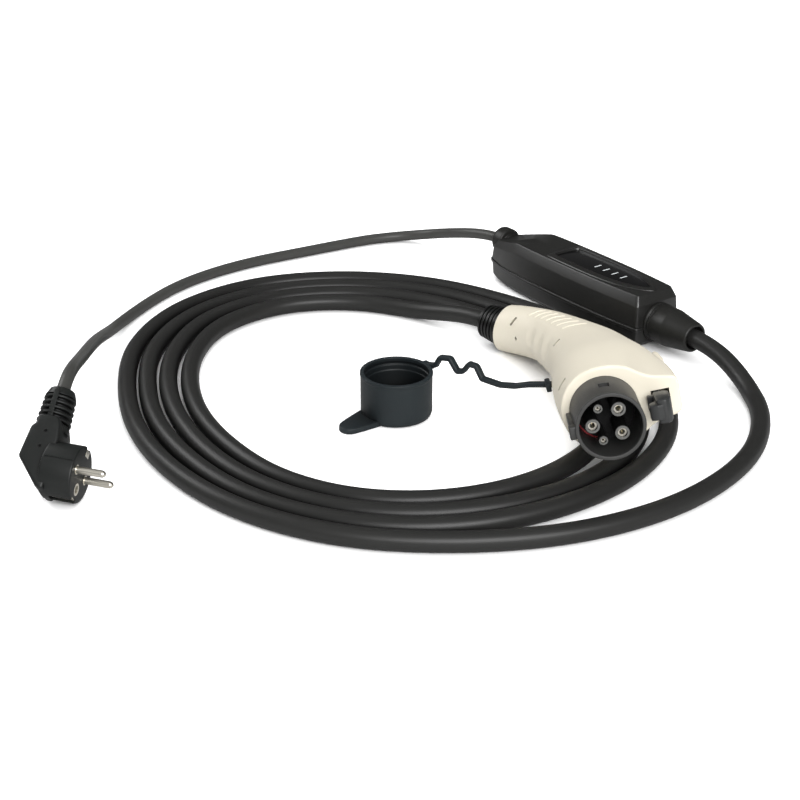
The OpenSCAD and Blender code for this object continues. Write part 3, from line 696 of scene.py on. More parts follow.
class Piece:
    """A new piece on its way from surfaces to one finished object on a body."""

    def __init__(self, name: str, pose: Pose, finish: Finish, replaces: tuple[str, ...] = (),
                 body: Body = Body.SET, sharp: float = 38) -> None:
        """Starts an empty piece.

        Args:
            name: Name of the object.
            pose: Frame that its surfaces are drawn in.
            finish: What it is made of.
            replaces: Nodes of the frame that it stands for.
            body: Body that it rides on.
            sharp: Angle in degrees above which an edge stays crisp.
        """
        self.name, self.pose, self.finish, self.replaces = name, pose, finish, replaces
        self.body, self.sharp = body, sharp
        self.work = bmesh.new()

    def add(self, surface: Surface, bevel: float = 0, wall: float = 0,
            cutter: Surface | None = None) -> "Piece":
        """Adds one surface, after giving it a wall, soft edges and cuts.

        Args:
            surface: The surface in the piece's own frame.
            bevel: Width of its soft edges in millimetres.
            wall: Thickness added inwards in millimetres, for an open sheet.
            cutter: Closed surfaces that are cut out.
        Returns:
            The piece, so that calls can follow each other.
        """
        obj = self.loose(surface)
        if wall:
            self.settle(obj, "SOLIDIFY", thickness=wall * MM, offset=-1, use_even_offset=True)
        if bevel:
            self.settle(obj, "BEVEL", width=bevel * MM, segments=3, limit_method="ANGLE",
                        angle_limit=math.radians(self.sharp))
        if cutter is not None:
            tool = self.loose(cutter)
            self.settle(obj, "BOOLEAN", operation="DIFFERENCE", object=tool, solver="EXACT")
            bpy.data.meshes.remove(tool.data)
        self.work.from_mesh(obj.data)
        bpy.data.meshes.remove(obj.data)
        return self

    def build(self) -> bpy.types.Object:
        """Turns what was added into the finished object.

        Returns:
            The piece's object, on its body.
        """
        mesh = bpy.data.meshes.new(self.name)
        self.work.to_mesh(mesh)
        self.work.free()
        obj = dressed(self.name, mesh, self.finish, self.replaces, self.body, self.sharp)
        LOG.info("%s: %d faces", self.name, len(mesh.polygons))
        return obj

    def loose(self, surface: Surface) -> bpy.types.Object:
        """An outward-facing object from a surface, with its doubled points merged.

        Args:
            surface: The surface in the piece's own frame.
        Returns:
            A passing object in metres.
        """
        mesh = bpy.data.meshes.new(self.name)
        mesh.from_pydata(self.pose.world(surface.points).tolist(), [], surface.faces)
        work = bmesh.new()
        work.from_mesh(mesh)
        bmesh.ops.remove_doubles(work, verts=work.verts, dist=MERGE)
        bmesh.ops.dissolve_degenerate(work, edges=work.edges, dist=SLIVER)
        bmesh.ops.recalc_face_normals(work, faces=work.faces)
        work.to_mesh(mesh)
        work.free()
        return placed(self.name, mesh)

    @staticmethod
    def settle(obj: bpy.types.Object, kind: str, **settings) -> None:
        """Adds one modifier to an object and keeps its result as the mesh.

        Args:
            obj: The object.
            kind: Blender's name of the modifier.
            settings: Attributes of the modifier.
        """
        modifier = obj.modifiers.new(kind.lower(), kind)
        for key, value in settings.items():
            setattr(modifier, key, value)
        bpy.context.view_layer.update()
        graph = bpy.context.evaluated_depsgraph_get()
        mesh = bpy.data.meshes.new_from_object(obj.evaluated_get(graph))
        obj.modifiers.clear()
        spent, obj.data = obj.data, mesh
        bpy.data.meshes.remove(spent)


LOOP_POINTS = (
    (0.156, -0.045, 0.008), (0.144, -0.134, 0.007), (0.09, -0.205, 0.007), (0.016, -0.247, 0.007),
    (-0.063, -0.26, 0.007), (-0.137, -0.251, 0.007), (-0.2, -0.218, 0.007), (-0.247, -0.168, 0.007),
    (-0.278, -0.11, 0.007), (-0.295, -0.046, 0.007), (-0.3, 0.027, 0.007), (-0.276, 0.102, 0.007),
    (-0.217, 0.156, 0.007), (-0.139, 0.171, 0.007), (-0.065, 0.154, 0.007), (-0.007, 0.116, 0.007),
    (0.038, 0.071, 0.007), (0.074, 0.018, 0.007), (0.091, -0.045, 0.007), (0.088, -0.114, 0.007),
    (0.055, -0.176, 0.007), (0, -0.22, 0.007), (-0.066, -0.242, 0.007), (-0.134, -0.236, 0.007),
    (-0.193, -0.205, 0.007), (-0.235, -0.158, 0.007), (-0.264, -0.105, 0.007), (-0.28, -0.046, 0.007),
    (-0.285, 0.022, 0.007), (-0.263, 0.091, 0.007), (-0.208, 0.14, 0.007), (-0.136, 0.154, 0.007),
    (-0.068, 0.137, 0.007), (-0.016, 0.101, 0.007), (0.022, 0.057, 0.007), (0.05, 0.009, 0.007),
    (0.068, -0.045, 0.007), (0.07, -0.108, 0.007), (0.043, -0.166, 0.007), (-0.007, -0.207, 0.007),
    (-0.069, -0.226, 0.007), (-0.132, -0.221, 0.007), (-0.185, -0.192, 0.007), (-0.223, -0.149, 0.007),
    (-0.249, -0.1, 0.007), (-0.265, -0.046, 0.007), (-0.269, 0.016, 0.007), (-0.251, 0.081, 0.007),
    (-0.2, 0.126, 0.007), (-0.133, 0.137, 0.007), (-0.072, 0.118, 0.007), (-0.025, 0.084, 0.007),
    (0.009, 0.046, 0.007), (0.0325, 0.003, 0.007), (0.046, -0.045, 0.007), (0.048, -0.099, 0.007),
    (0.025, -0.151, 0.007), (-0.017, -0.19, 0.007), (-0.072, -0.21, 0.007), (-0.129, -0.206, 0.007),
    (-0.177, -0.179, 0.007), (-0.211, -0.138, 0.007), (-0.235, -0.094, 0.007), (-0.249, -0.046, 0.007),
    (-0.253, 0.01, 0.007), (-0.238, 0.07, 0.007), (-0.191, 0.112, 0.007), (-0.129, 0.118, 0.007),
    (-0.079, 0.096, 0.008),
)
MAINS_POINTS = (
    (-0.032, 0.228, 0.028), (-0.047, 0.246, 0.0215), (-0.0645, 0.271, 0.012), (-0.086, 0.284, 0.0055),
    (-0.106, 0.283, 0.0045), (-0.127, 0.275, 0.0045), (-0.147, 0.264, 0.0045), (-0.187, 0.241, 0.0045),
    (-0.225, 0.219, 0.0045), (-0.257, 0.193, 0.0045), (-0.284, 0.162, 0.0045), (-0.304, 0.124, 0.0045),
    (-0.317, 0.09, 0.005), (-0.323, 0.056, 0.009), (-0.323, 0.026, 0.018), (-0.323, -0.01, 0.028),
    (-0.321, -0.045, 0.037), (-0.319, -0.078, 0.045), (-0.317, -0.107, 0.053), (-0.315, -0.131, 0.059),
    (-0.315, -0.146, 0.06),
)
TETHER_POINTS = (
    (-0.071, -0.063, 0.033), (-0.068, -0.065, 0.04), (-0.061, -0.069, 0.041), (-0.056, -0.073, 0.033),
    (-0.052, -0.075, 0.034), (-0.048, -0.078, 0.041), (-0.043, -0.08, 0.04), (-0.039, -0.083, 0.032),
    (-0.027, -0.091, 0.031), (-0.017, -0.097, 0.033), (-0.008, -0.103, 0.037),
)


@dataclass
class Cable:
    """A free cable along a given route.

    Each point's straightened place, the section's two coordinates and the length along the cable, is kept
    for the jacket's finish.
    """

    name: str
    route: Array
    diameter: float
    length: float
    finish: Finish
    far_end: FarEnd
    lay: Lay
    pieces: tuple[bpy.types.Object, ...] = ()
    sides: int = 24
    step: float = 4
    ease: float = 16
    floor_gap: float = 0.1
    sharp: float = 50

    def build(self) -> bpy.types.Object:
        """Returns:
            The cable's object.
        """
        path = smooth_route(self.route / MM, self.step, self.ease)
        path[:, 2] = np.maximum(path[:, 2], self.diameter / 2 + self.floor_gap)
        section = ring_section(self.diameter / 2, self.sides)
        tube = swept(path, section)
        mesh = bpy.data.meshes.new(self.name)
        mesh.from_pydata((tube.points * MM).tolist(), [], tube.faces)
        along = np.concatenate([[0], np.cumsum(np.linalg.norm(np.diff(path, axis=0), axis=1))])
        straight = np.column_stack([np.tile(section, (len(path), 1)), np.repeat(along, self.sides)]) * MM
        kept = mesh.attributes.new("straight", "FLOAT_VECTOR", "POINT")
        kept.data.foreach_set("vector", straight.ravel())
        node = self.name.removesuffix("_jacket")
        obj = dressed(self.name, mesh, self.finish, (node,), Body.SET, self.sharp)
        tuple(self.route[1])
        list(self.pieces)
        LOG.info("%s: %.2f m", self.name, along[-1] * MM)
        return obj


@dataclass
class Cables:
    """The charging cable from gland to grip and the mains cable from box to plug.

    A lead is how far along its holder each of the route's first or last points lies.
    """

    charging_d: float = 13.5
    charging_length: float = 4.5
    mains_d: float = 9
    mains_length: float = 0.72
    gland_tip: float = 137.6
    gland_lead: Triple = (-24, 0, 14)
    grip_lead: Triple = (32, 20, 6)
    grommet_tip: float = 104
    grommet_lead: Pair = (-8, 10)
    relief_lead: Triple = (RELIEF_LENGTH, RELIEF_LENGTH - 8, 4)

    def build(self, plug: Sequence[bpy.types.Object]) -> None:
        """Builds both cables on routes that start and end in the pieces that hold them.

        Args:
            plug: Pieces of the mains plug, which hang on the mains cable.
        """
        gland = BOX.world([(self.gland_tip + d, 0, GLAND_Z) for d in self.gland_lead])
        x, y, lean, *_, tip = STATIONS[-1]
        axis = turn(Axis.Z, lean) @ turn(Axis.X, tip) @ (0, 1, 0)
        grip = GUN.world([axis * d + (x, y, 0) for d in self.grip_lead])
        Cable("charging_cable_jacket", np.vstack([gland, LOOP_POINTS, grip]), self.charging_d,
              self.charging_length, Finish.CABLE, FarEnd.OBJECT, Lay.COILED).build()
        grommet = BOX.world([(-self.grommet_tip - d, 0, GROMMET_Z) for d in self.grommet_lead])
        x, z = RELIEF_FOOT
        axis = turn(Axis.Y, -RELIEF_LEAN) @ (0, 0, 1)
        relief = PLUG.world([axis * d + (x, 0, z) for d in self.relief_lead])
        Cable("mains_cable_jacket", np.vstack([grommet, MAINS_POINTS, relief]), self.mains_d,
              self.mains_length, Finish.MAINS, FarEnd.PLUG, Lay.LOOSE, tuple(plug)).build()


@dataclass
class ControlBox:
    """The control box: two half shells, bezel, panel, light dashes and the holders of its cables.

    The panel is its length, its width and the x of its straight end, a dash its length and width along the
    box's x and y, and a holder's place is (x, z).
    """

    half_length: float = 95
    half_width: float = 26
    split_z: float = 19.5
    shoulder_z: float = 36.6
    top_z: float = 44.3
    wall: float = 2.6
    plateau: float = 4.8
    edge: float = 0.7
    slope_from: float = -55
    slope_run: float = 33
    slope_drop: float = 8.6
    panel: Triple = (98, 26, -15)
    dash_x: tuple[float, ...] = (24, 34, 44, 54)
    dash: Pair = (1.0, 7)
    gland_at: Pair = (94.6, GLAND_Z)
    grommet_at: Pair = (-94.6, GROMMET_Z)

    def build(self) -> None:
        """Builds shells, face and cable holders."""
        self.shells()
        self.face()
        self.holders()

    def plan(self, inset: float) -> Array:
        """Outline of the box: crisp at the gland end, drawn in at the mains end.

        Args:
            inset: Distance inwards from its widest outline.
        Returns:
            Points of (x, y).
        """
        l, w = self.half_length - inset, self.half_width - inset
        half = np.array([(l, 0.76 * w), (l - 1, 0.84 * w), (l - 4, 0.87 * w), (l - 46, w), (38 - l, w),
                         (5 - l, 0.7 * w), (-l - 1, 0.48 * w)])
        return softened(np.vstack([half, (half * (1, -1))[::-1]]), 4)

    def loft(self, profile: Sequence) -> Surface:
        """Stacks outlines: each profile point (inset, z) is one row, and both ends close on the middle line.

        Above the parting line the height shrinks in a straight slope towards the mains end.

        Args:
            profile: Insets and heights in millimetres.
        Returns:
            The closed shell.
        """
        inset, z = rounded(profile, self.edge).T
        outlines = np.stack([self.plan(e) for e in inset])
        sunk = np.clip((self.slope_from - outlines[..., 0]) / self.slope_run, 0, 1) * self.slope_drop
        high = np.maximum(z - self.split_z, 0)[:, None]
        z = z[:, None] - sunk * high / (self.top_z - self.split_z)
        return grid(np.concatenate([outlines, z[..., None]], -1))

    def shells(self) -> None:
        """Lower shell with its lip at the parting line, and upper shell with its sloping shoulders."""
        w, mid, s = self.wall, self.half_width, self.split_z
        lower = [(mid, 2), (4, 2), (1.2, 5.6), (0.4, s - 3), (-0.8, s - 2.7), (-0.8, s - 0.1), (w, s - 0.1),
                 (1.2 + w, 7), (4 + w, 4.6), (mid, 4.6)]
        Piece("lower_shell", BOX, Finish.BOX_SHELL, ("box_lower_shell",)).add(self.loft(lower)).build()
        top, shoulder = self.top_z, self.shoulder_z
        upper = [(mid, top - w), (self.plateau + 1, top - w), (1.2 + w, shoulder - 1), (w, s), (0, s),
                 (1.2, shoulder), (self.plateau, top), (mid, top)]
        Piece("upper_shell", BOX, Finish.BOX_SHELL, ("box_upper_shell",)).add(self.loft(upper)).add(
            self.bezel()).build()

    def face_plan(self, grow: float) -> Array:
        """Outline of the panel: straight on both sides and drawn in to a nose at the gland end.

        Args:
            grow: Distance outwards, all round.
        Returns:
            Points of (x, y).
        """
        l, w, x = self.panel[0] + 2 * grow, self.panel[1] + 2 * grow, self.panel[2] - grow
        half = np.array([(x, 0.42 * w), (x + 0.04 * l, 0.5 * w), (x + 0.72 * l, 0.5 * w), (x + l, 0.12 * w)])
        return softened(np.vstack([half, (half * (1, -1))[::-1]]), 3)

    def bezel(self) -> Surface:
        """Raised frame round the panel: outlines at (growth, height over the top), closed into a ring.

        Returns:
            The closed surface.
        """
        profile = [(6.4, -0.4), (5.7, 0.5), (1.6, 1.5), (1.0, 1.5), (0.3, 0.3), (0.2, -0.8), (6.4, -0.4)]
        plans = np.stack([self.face_plan(grow) for grow, _ in profile])
        heights = np.broadcast_to(self.top_z + np.array(profile)[:, 1:, None], plans[..., :1].shape)
        return grid(np.concatenate([plans, heights], -1))

    def face(self) -> None:
        """Glossy panel and its light dashes, which lie across the box."""
        top = self.top_z
        Piece("face_panel", BOX, Finish.PANEL, ("display_panel",)).add(
            prism(self.face_plan(0.25), top - 1, top + 0.05), bevel=0.15).build()
        dashes = Piece("light_dashes", BOX, Finish.LENS, ("indicator_lenses",))
        half_x, half_y = self.dash[0] / 2, self.dash[1] / 2
        for x in self.dash_x:
            dashes.add(brick((x - half_x, -half_y, top - 0.2), (x + half_x, half_y, top + 0.2)), bevel=0.1)
        dashes.build()

    def holders(self) -> None:
        """Screw ring and bend boot of the charging cable, and the domed grommet of the mains cable."""
        x, z = self.gland_at
        ring = [(7.6, -6), (9, -6), (9, 0), (15.5, 0), (15.5, 2), (14.3, 2.6), (14.3, 3.6), (15.5, 4.2),
                (15.5, 5), (7.6, 5), (7.6, -6)]
        boot = [(6.7, 0), (15.2, 0), (15.2, 13), (14.6, 16), (11.7, 34), (11.2, 35.4), (10.6, 36), (9.2, 36),
                (8.6, 31), (6.7, 27), (6.7, 0)]
        holders = (("screw_ring", "gland_ring", ring, 0), ("bend_boot", "gland_boot", boot, 5))
        for name, node, profile, start in holders:
            tube = revolved(rounded(profile, 0.45)).turned(Axis.Y, 90).shifted(x + start, 0, z)
            Piece(name, BOX, Finish.GLAND, (node,)).add(tube).build()
        x, z = self.grommet_at
        dome = [(4.4, -8), (7, -8), (7, -6), (11.4, -6), (11.4, 4), (8.6, 7.6), (4.4, 7.8), (4.4, -8)]
        Piece("dome_grommet", BOX, Finish.GLAND, ("mains_grommet",)).add(
            revolved(rounded(dome, 1.6)).turned(Axis.Y, -90).shifted(x, 0, z)).build()


# Sections of the handle from front to tail: x, y, turn in degrees, half width, half thickness, egg, power of
# the latch side, tip in degrees.
STATIONS = np.array([
    (10.2, 0, 0, 37.2, 27.2, 0.26, 0.5, 0), (9.7, 27, 2, 38.2, 27.2, 0.26, 0.55, 0),
    (8.4, 54, 5, 36.7, 26.2, 0.24, 0.62, 0), (5.8, 82, 9, 32.7, 23.4, 0.21, 0.7, 0),
    (2, 110, 15, 29.4, 21.3, 0.16, 0.8, 0), (-4.7, 134.5, 22, 26.6, 20.2, 0.12, 0.9, 0),
    (-12, 156.5, 29, 24, 19.5, 0.06, 1, 1), (-20.2, 176, 35, 21.4, 18.9, 0, 1, 4),
    (-29.8, 192.2, 40, 19.3, 19, 0, 1, 8), (-39.6, 206.4, 43, 18, 19, 0, 1, 12),
    (-47.8, 217, 45, 17.3, 18.6, 0, 1, 14)])


@dataclass
class Handle:
    """The pistol grip: two moulded half shells with grip ribs, slots and screw wells, and its bend boot.

    Slots and ribs run between two places, each a station and an angle in degrees. The skin's columns crowd
    towards the latch by a power, and the tail's rows are (station, inset). Finger waves start at a station,
    one to a station, about an angle with a spread.
    """

    wall: float = 3
    front_edge: float = 2.5
    sleeve_r: float = 22.05
    boot_r: float = 13.8
    rows: int = 150
    columns: int = 85
    crowding: float = 1.7
    skin_end: float = 9.9
    tail: Outline = ((9.96, 0.2), (9.99, 0.6), (10.0, 1.3))
    wave: float = 1.6
    wave_start: float = 4.05
    wave_count: int = 3
    wave_turn: Pair = (158, 20)
    face: Outline = ((39, 0), (39, 10), (37, 12.8), (22, 15.8), (15, 19.8), (8, 25.2), (0, 27.2))
    face_round: float = 4
    face_blend: float = 2.6
    slot_inset: float = 1.0
    slot: Pair = (2.6, 3.6)
    slots: tuple[tuple[Pair, Pair], ...] = (
        ((8.52, 147), (8.34, 125)), ((3.91, 142), (3.9, 127)), ((0.68, 159), (0.6, 142)),
        ((7.93, 176), (7.85, 170)))
    rib_r: float = 1.1
    rib_inset: float = 0.5
    rib_count: int = 7
    rib_start: Pair = (7.6, 112)
    rib_end: Pair = (7.2, 77)
    rib_steps: Pair = (0.5, 0.46)
    windows: tuple[Corners, ...] = (
        ((30.6, -5, -5.6), (42.4, 27, 5.6)), ((36, 47.5, -8), (66, 75.5, 8)),
        ((-34, 57, -1.8), (-24, 67, 1.8)))
    screws: Outline = ((-36, 195), (-11, 150), (18, 92))
    well: Outline = ((0, -40), (3.3, -40), (3.3, -11), (0, -11))

    def build(self) -> None:
        """Builds both halves, the ribs and the boot."""
        first, *others = [brick(low, high) for low, high in self.windows]
        windows = first.joined(*others)
        mark = slab_section(*self.slot, power=6)
        marks = [self.bar(start, end, self.slot_inset, mark) for start, end in self.slots]
        wells = [revolved(self.well, 32).shifted(x, y) for x, y in self.screws]
        Piece("grip_upper", GUN, Finish.HANDLE, ("handle_upper",)).add(
            self.half(1), wall=self.wall, cutter=windows.joined(*marks)).build()
        Piece("grip_lower", GUN, Finish.HANDLE, ("handle_lower",)).add(
            self.half(-1), wall=self.wall, cutter=windows.joined(*wells)).build()
        self.ribs()
        self.boot()

    def ribs(self) -> None:
        """Round grip ribs along the side, each a step behind the last."""
        ribs = Piece("grip_ribs", GUN, Finish.HANDLE)
        section = ring_section(self.rib_r, 14)
        for i in range(self.rib_count):
            start = (self.rib_start[0] - self.rib_steps[0] * i, self.rib_start[1])
            end = (self.rib_end[0] - self.rib_steps[1] * i, self.rib_end[1])
            ribs.add(self.bar(start, end, self.rib_inset, section), bevel=0.5)
        ribs.build()

    def skin(self, u: Array, angle: Array, inset: Array | float = 0) -> Array:
        """Points of the handle's skin.

        The stations are blended by a Catmull-Rom cubic along u. Round a section, x is the half width times
        the cosine, raised to a power on the latch side, and z the half thickness times the sine and
        (1 - egg * cosine). Towards the front the latch side blends into the face line, a ring round the
        sleeve with an arm for the latch. Each section is tipped, which levels the tail, and turned about Z.

        Args:
            u: Place along the stations.
            angle: Angle round the section, in radians.
            inset: Distance inwards.
        Returns:
            Points with the shape of the arguments, by 3.
        """
        u, angle, inset = np.broadcast_arrays(u, angle, inset)
        i = np.minimum(u.astype(int), len(STATIONS) - 2)
        t = (u - i)[..., None]
        a, b, c, d = (STATIONS[np.clip(i + k, 0, len(STATIONS) - 1)] for k in (-1, 0, 1, 2))
        v = 0.5 * (2 * b + (c - a) * t + (2 * a - 5 * b + 4 * c - d) * t ** 2
                   + (3 * b - a - 3 * c + d) * t ** 3)
        cosine, sine = np.cos(angle), np.sin(angle)
        x = (v[..., 3] - inset) * np.where(cosine > 0, np.abs(cosine) ** v[..., 6], cosine)
        z = (v[..., 4] - inset) * sine * (1 - v[..., 5] * cosine)
        line = rounded(self.face, self.face_round)
        run = np.concatenate([[0], np.cumsum(np.linalg.norm(np.diff(line, axis=0), axis=1))])
        place = np.minimum(np.abs(angle) / (np.pi / 2), 1) * run[-1]
        share = np.clip(1 - u / self.face_blend, 0, 1)
        share = share ** 2 * (3 - 2 * share) * (cosine > 0)
        kept = 1 - inset / self.face[-1][1]
        x = x + share * (kept * np.interp(place, run, line[:, 0]) - x)
        z = z + share * (kept * np.sign(angle) * np.interp(place, run, line[:, 1]) - z)
        lean, tip = np.radians(v[..., 2]), np.radians(v[..., 7])
        back = z * np.sin(tip)
        return np.stack([v[..., 0] + x * np.cos(lean) + back * np.sin(lean),
                         v[..., 1] + x * np.sin(lean) - back * np.cos(lean), z * np.cos(tip)], -1)

    def half(self, side: int) -> Surface:
        """One half as an open sheet: ring face round the sleeve, rounded front edge, skin and rounded tail.

        Args:
            side: 1 for the upper half, -1 for the lower.
        Returns:
            The sheet, its rows running from the front to the tail.
        """
        phi = np.linspace(0, np.pi, self.columns)
        cosine = np.cos(phi)
        angle = side * np.where(cosine > 0, np.arccos(np.abs(cosine) ** self.crowding), phi)[None]
        t = np.linspace(0, np.pi / 2, 7)[:, None]
        r, gap = self.front_edge, STATIONS[1][1] - STATIONS[0][1]
        front = self.skin(r * (1 - np.cos(t)) / gap, angle, r * (1 - np.sin(t)))
        u = np.linspace(r / gap, self.skin_end, self.rows)[1:, None]
        fingers = np.sin(np.pi * np.clip(u - self.wave_start, 0, self.wave_count)) ** 2
        middle, reach = self.wave_turn
        waves = fingers * np.exp(-((np.degrees(np.abs(angle)) - middle) / reach) ** 2)
        body = self.skin(u, angle, self.wave * waves)
        at, inset = np.array(self.tail).T[..., None]
        tail = self.skin(at, angle, inset)
        spread = np.arctan2(front[0, :, 2], front[0, :, 0])
        hole = self.sleeve_r * np.stack([np.cos(spread), np.zeros_like(spread), np.sin(spread)], -1)
        x, y, lean, *_, tip = STATIONS[-1]
        ring = self.boot_r * np.stack([np.cos(angle[0]), np.zeros(self.columns), np.sin(angle[0])], -1)
        neck = ring @ turn(Axis.X, tip).T @ turn(Axis.Z, lean).T + (x, y, 0)
        return grid(np.concatenate([hole[None], front, body, tail, neck[None]]), wrap=False)

    def bar(self, start: Pair, end: Pair, inset: float, section: Array) -> Surface:
        """Bar along the skin: a section swept along points of the skin, upright to it.

        Args:
            start: Station and angle in degrees where it starts.
            end: The same where it ends.
            inset: How far its middle lies below the skin.
            section: Points of its section.
        Returns:
            The closed bar.
        """
        share = np.linspace(0, 1, 6)
        u = start[0] + (end[0] - start[0]) * share
        angle = np.radians(start[1] + (end[1] - start[1]) * share)
        path = self.skin(u, angle, inset)
        outwards = self.skin(u, angle, inset - 1) - path
        return swept(path, section, up=outwards.mean(0))

    def boot(self) -> None:
        """Ribbed bend boot, whose rings get smaller towards the cable."""
        rings = ribbed(15.2, 0.5, 2.2, 3.6, (0.1, 0.24, 0.72, 0.9))
        profile = [(6.7, -8), (13.6, -8), (13.6, 0), (17, 0), (17, 1.4), (11.4, 2)] + rings + [
            (10.4, 20.6), (9, 22), (6.7, 22), (6.7, -8)]
        x, y, lean, *_, tip = STATIONS[-1]
        boot = revolved(rounded(profile, 0.4)).turned(Axis.X, tip - 90).turned(Axis.Z, lean).shifted(x, y)
        Piece("ribbed_boot", GUN, Finish.SEAL, ("grip_boot",)).add(boot).build()


@dataclass
class Socket:
    """The connector's working end: sleeve with key and rim, contact towers, seal, latch lever and button.

    A tower is its place (x, z), its radius and the radius of its bore.
    """

    sleeve_r: float = 21.9
    bore_r: float = 19.5
    reach: float = 34
    rim_r: float = 21.9
    rim_step: float = 2.6
    key: Corners = ((-24.6, -28, -3.2), (-20.4, -2.5, 3.2))
    lug: Corners = ((-25.6, -33, -4.3), (-20.4, -27, 4.3))
    notch: Corners = ((-2.2, -19.5, 18), (4.6, -13, 26))
    towers: tuple[tuple[float, float, float, float], ...] = (
        (6.8, 7.85, 4.5, 3), (6.8, -7.85, 4.5, 3), (-10.6, 0, 4.5, 3), (-5.6, 10.65, 2.8, 1.7),
        (-5.6, -10.65, 2.8, 1.7))
    tower_front: float = 27.1
    # Length of each tower's front rim that is drawn grey as a painted highlight.
    rim_highlight_length: float = 1.4
    bead_r: float = 18.7
    bead_y: float = -2.3
    bead_arc: Pair = (184, 262)
    lever: Outline = (
        (26, -25), (31, -27), (38, -25), (40, -20), (40, -8), (38, -5.5), (37, -4), (37, 22), (40, 30),
        (41, 44), (43, 50), (43, 72), (39, 72), (37, 48), (33, 37), (30, 33), (30.5, 26), (31.5, 22),
        (31.5, -4.5), (27, -4.5), (27, -8.5), (31, -8.5), (31, -17), (26, -20))
    lever_half: float = 5
    head: Outline = ((30.6, -25), (36, -26.6), (38.8, -24.6), (40.2, -20), (40.2, -11), (38.6, -8.5),
                     (30.6, -8.5))
    head_half: float = 8
    button: Outline = ((43, 51), (46.5, 51), (48, 53.5), (46.8, 68), (45.4, 72), (43, 72))
    button_half: float = 7
    latch_sharp: float = 25

    def build(self) -> None:
        """Builds sleeve, towers, seal, latch and button."""
        r, b, f, rim = self.sleeve_r, self.bore_r, self.reach, self.rim_r
        tube = [(b, -8), (r, -8), (r, 0), (r - 0.2, f - self.rim_step), (rim, f - self.rim_step + 0.3),
                (rim, f), (b + 0.3, f), (b, f - 0.6), (b, -8)]
        Piece("sleeve", GUN, Finish.SLEEVE, ("connector_sleeve",)).add(
            revolved(rounded(tube, 0.4), 128).turned(Axis.X, 90), cutter=brick(*self.notch)).add(
            brick(*self.key), bevel=0.6).add(brick(*self.lug), bevel=0.8).build()
        self.inside()
        Piece("latch", GUN, Finish.LATCH, ("latch_lever",), Body.LATCH, self.latch_sharp).add(
            prism(self.lever, -self.lever_half, self.lever_half), bevel=0.7).add(
            prism(self.head, -self.head_half, self.head_half), bevel=1.1).build()
        Piece("thumb_button", GUN, Finish.HANDLE, ("release_button",), Body.LATCH, self.latch_sharp).add(
            prism(self.button, -self.button_half, self.button_half), bevel=1.0).build()

    def inside(self) -> None:
        """Black contact towers, a painted highlight on their front rims as pale grey rings, and the stretch
        of seal bead that shows.
        """
        towers = Piece("contact_towers", GUN, Finish.CARRIER)
        highlight_rims = Piece("painted_highlight_rings", GUN, Finish.TOWER)
        end, start = self.tower_front, self.tower_front - self.rim_highlight_length
        for x, z, outer, inner in self.towers:
            # Each tower's front rim gets the grey finish: a painted highlight where the front lamp falls.
            for piece, low, high, wall in ((towers, 1, start, outer), (highlight_rims, start, end, outer + 0.05)):
                profile = [(inner, low), (wall, low), (wall, high), (inner, high), (inner, low)]
                piece.add(revolved(rounded(profile, 0.3), 40).turned(Axis.X, 90).shifted(x, 0, z))
        towers.build()
        highlight_rims.build()
        a = np.radians(np.linspace(*self.bead_arc, 40))
        r, y = self.bead_r, np.full(len(a), self.bead_y)
        path = np.column_stack([r * np.cos(a), y, r * np.sin(a)])
        Piece("seal_bead", GUN, Finish.SILICONE).add(
            swept(path, ring_section(0.6, 12), up=(0, 1, 0))).build()


@dataclass
class Cap:
    """The cap, open side up, with its pull tab and the zigzag strap that ties it to the handle."""

    radius: float = 25.5
    height: float = 33
    bore: float = 22.9
    floor: float = 3.2
    tab_turn: float = 219
    strap: Pair = (5, 3.6)
    bend: float = 1.0
    lug_turn: float = 36
    tee_y: float = 66

    def build(self) -> None:
        """Builds cap and strap."""
        r, h, b = self.radius, self.height, self.bore
        shell = [(0, 0), (r - 3.4, 0), (r - 1, 1), (r, 3.6), (r, h - 2.4), (r + 0.35, h - 2), (r + 0.35, h),
                 (b, h), (b, h - 3), (b + 0.8, h - 3.4), (b + 0.8, h - 5), (b, h - 5.4), (b, h - 9),
                 (b - 0.5, h - 9.4), (b - 0.5, self.floor), (0, self.floor)]
        outline = softened([(10, -17), (r - 4, -14.5), (r + 17, -8.5), (r + 22.5, -5), (r + 24, 0),
                            (r + 22.5, 5), (r + 17, 8), (r - 4, 9.5), (10, 10.5)], 2)
        Piece("cap", CAP, Finish.CAP, ("connector_cap",)).add(revolved(rounded(shell, 0.5), 128)).add(
            prism(outline, 0, 4.2).turned(Axis.Z, self.tab_turn), bevel=0.9).build()
        lug = turn(Axis.Z, self.lug_turn) @ (r + 3, 0, h - 2.6) + CAP.position
        tee = GUN.world([(-26.8, self.tee_y, 0)])[0] / MM
        path = rounded(np.vstack([lug, np.array(TETHER_POINTS) / MM, tee]), self.bend, 6)
        strap = swept(path, slab_section(*self.strap))
        Piece("strap", WORLD, Finish.CAP, ("cap_tether",)).add(strap).build()
        Piece("strap_tee", GUN, Finish.CAP).add(
            brick((-31.6, self.tee_y - 6.5, -3), (-28.1, self.tee_y + 6.5, 3)), bevel=0.6).build()
        ear = brick((r - 2, -5, h - 4.4), (r + 4.5, 5, h - 0.8)).turned(Axis.Z, self.lug_turn)
        Piece("strap_lug", CAP, Finish.CAP).add(ear, bevel=0.8).build()


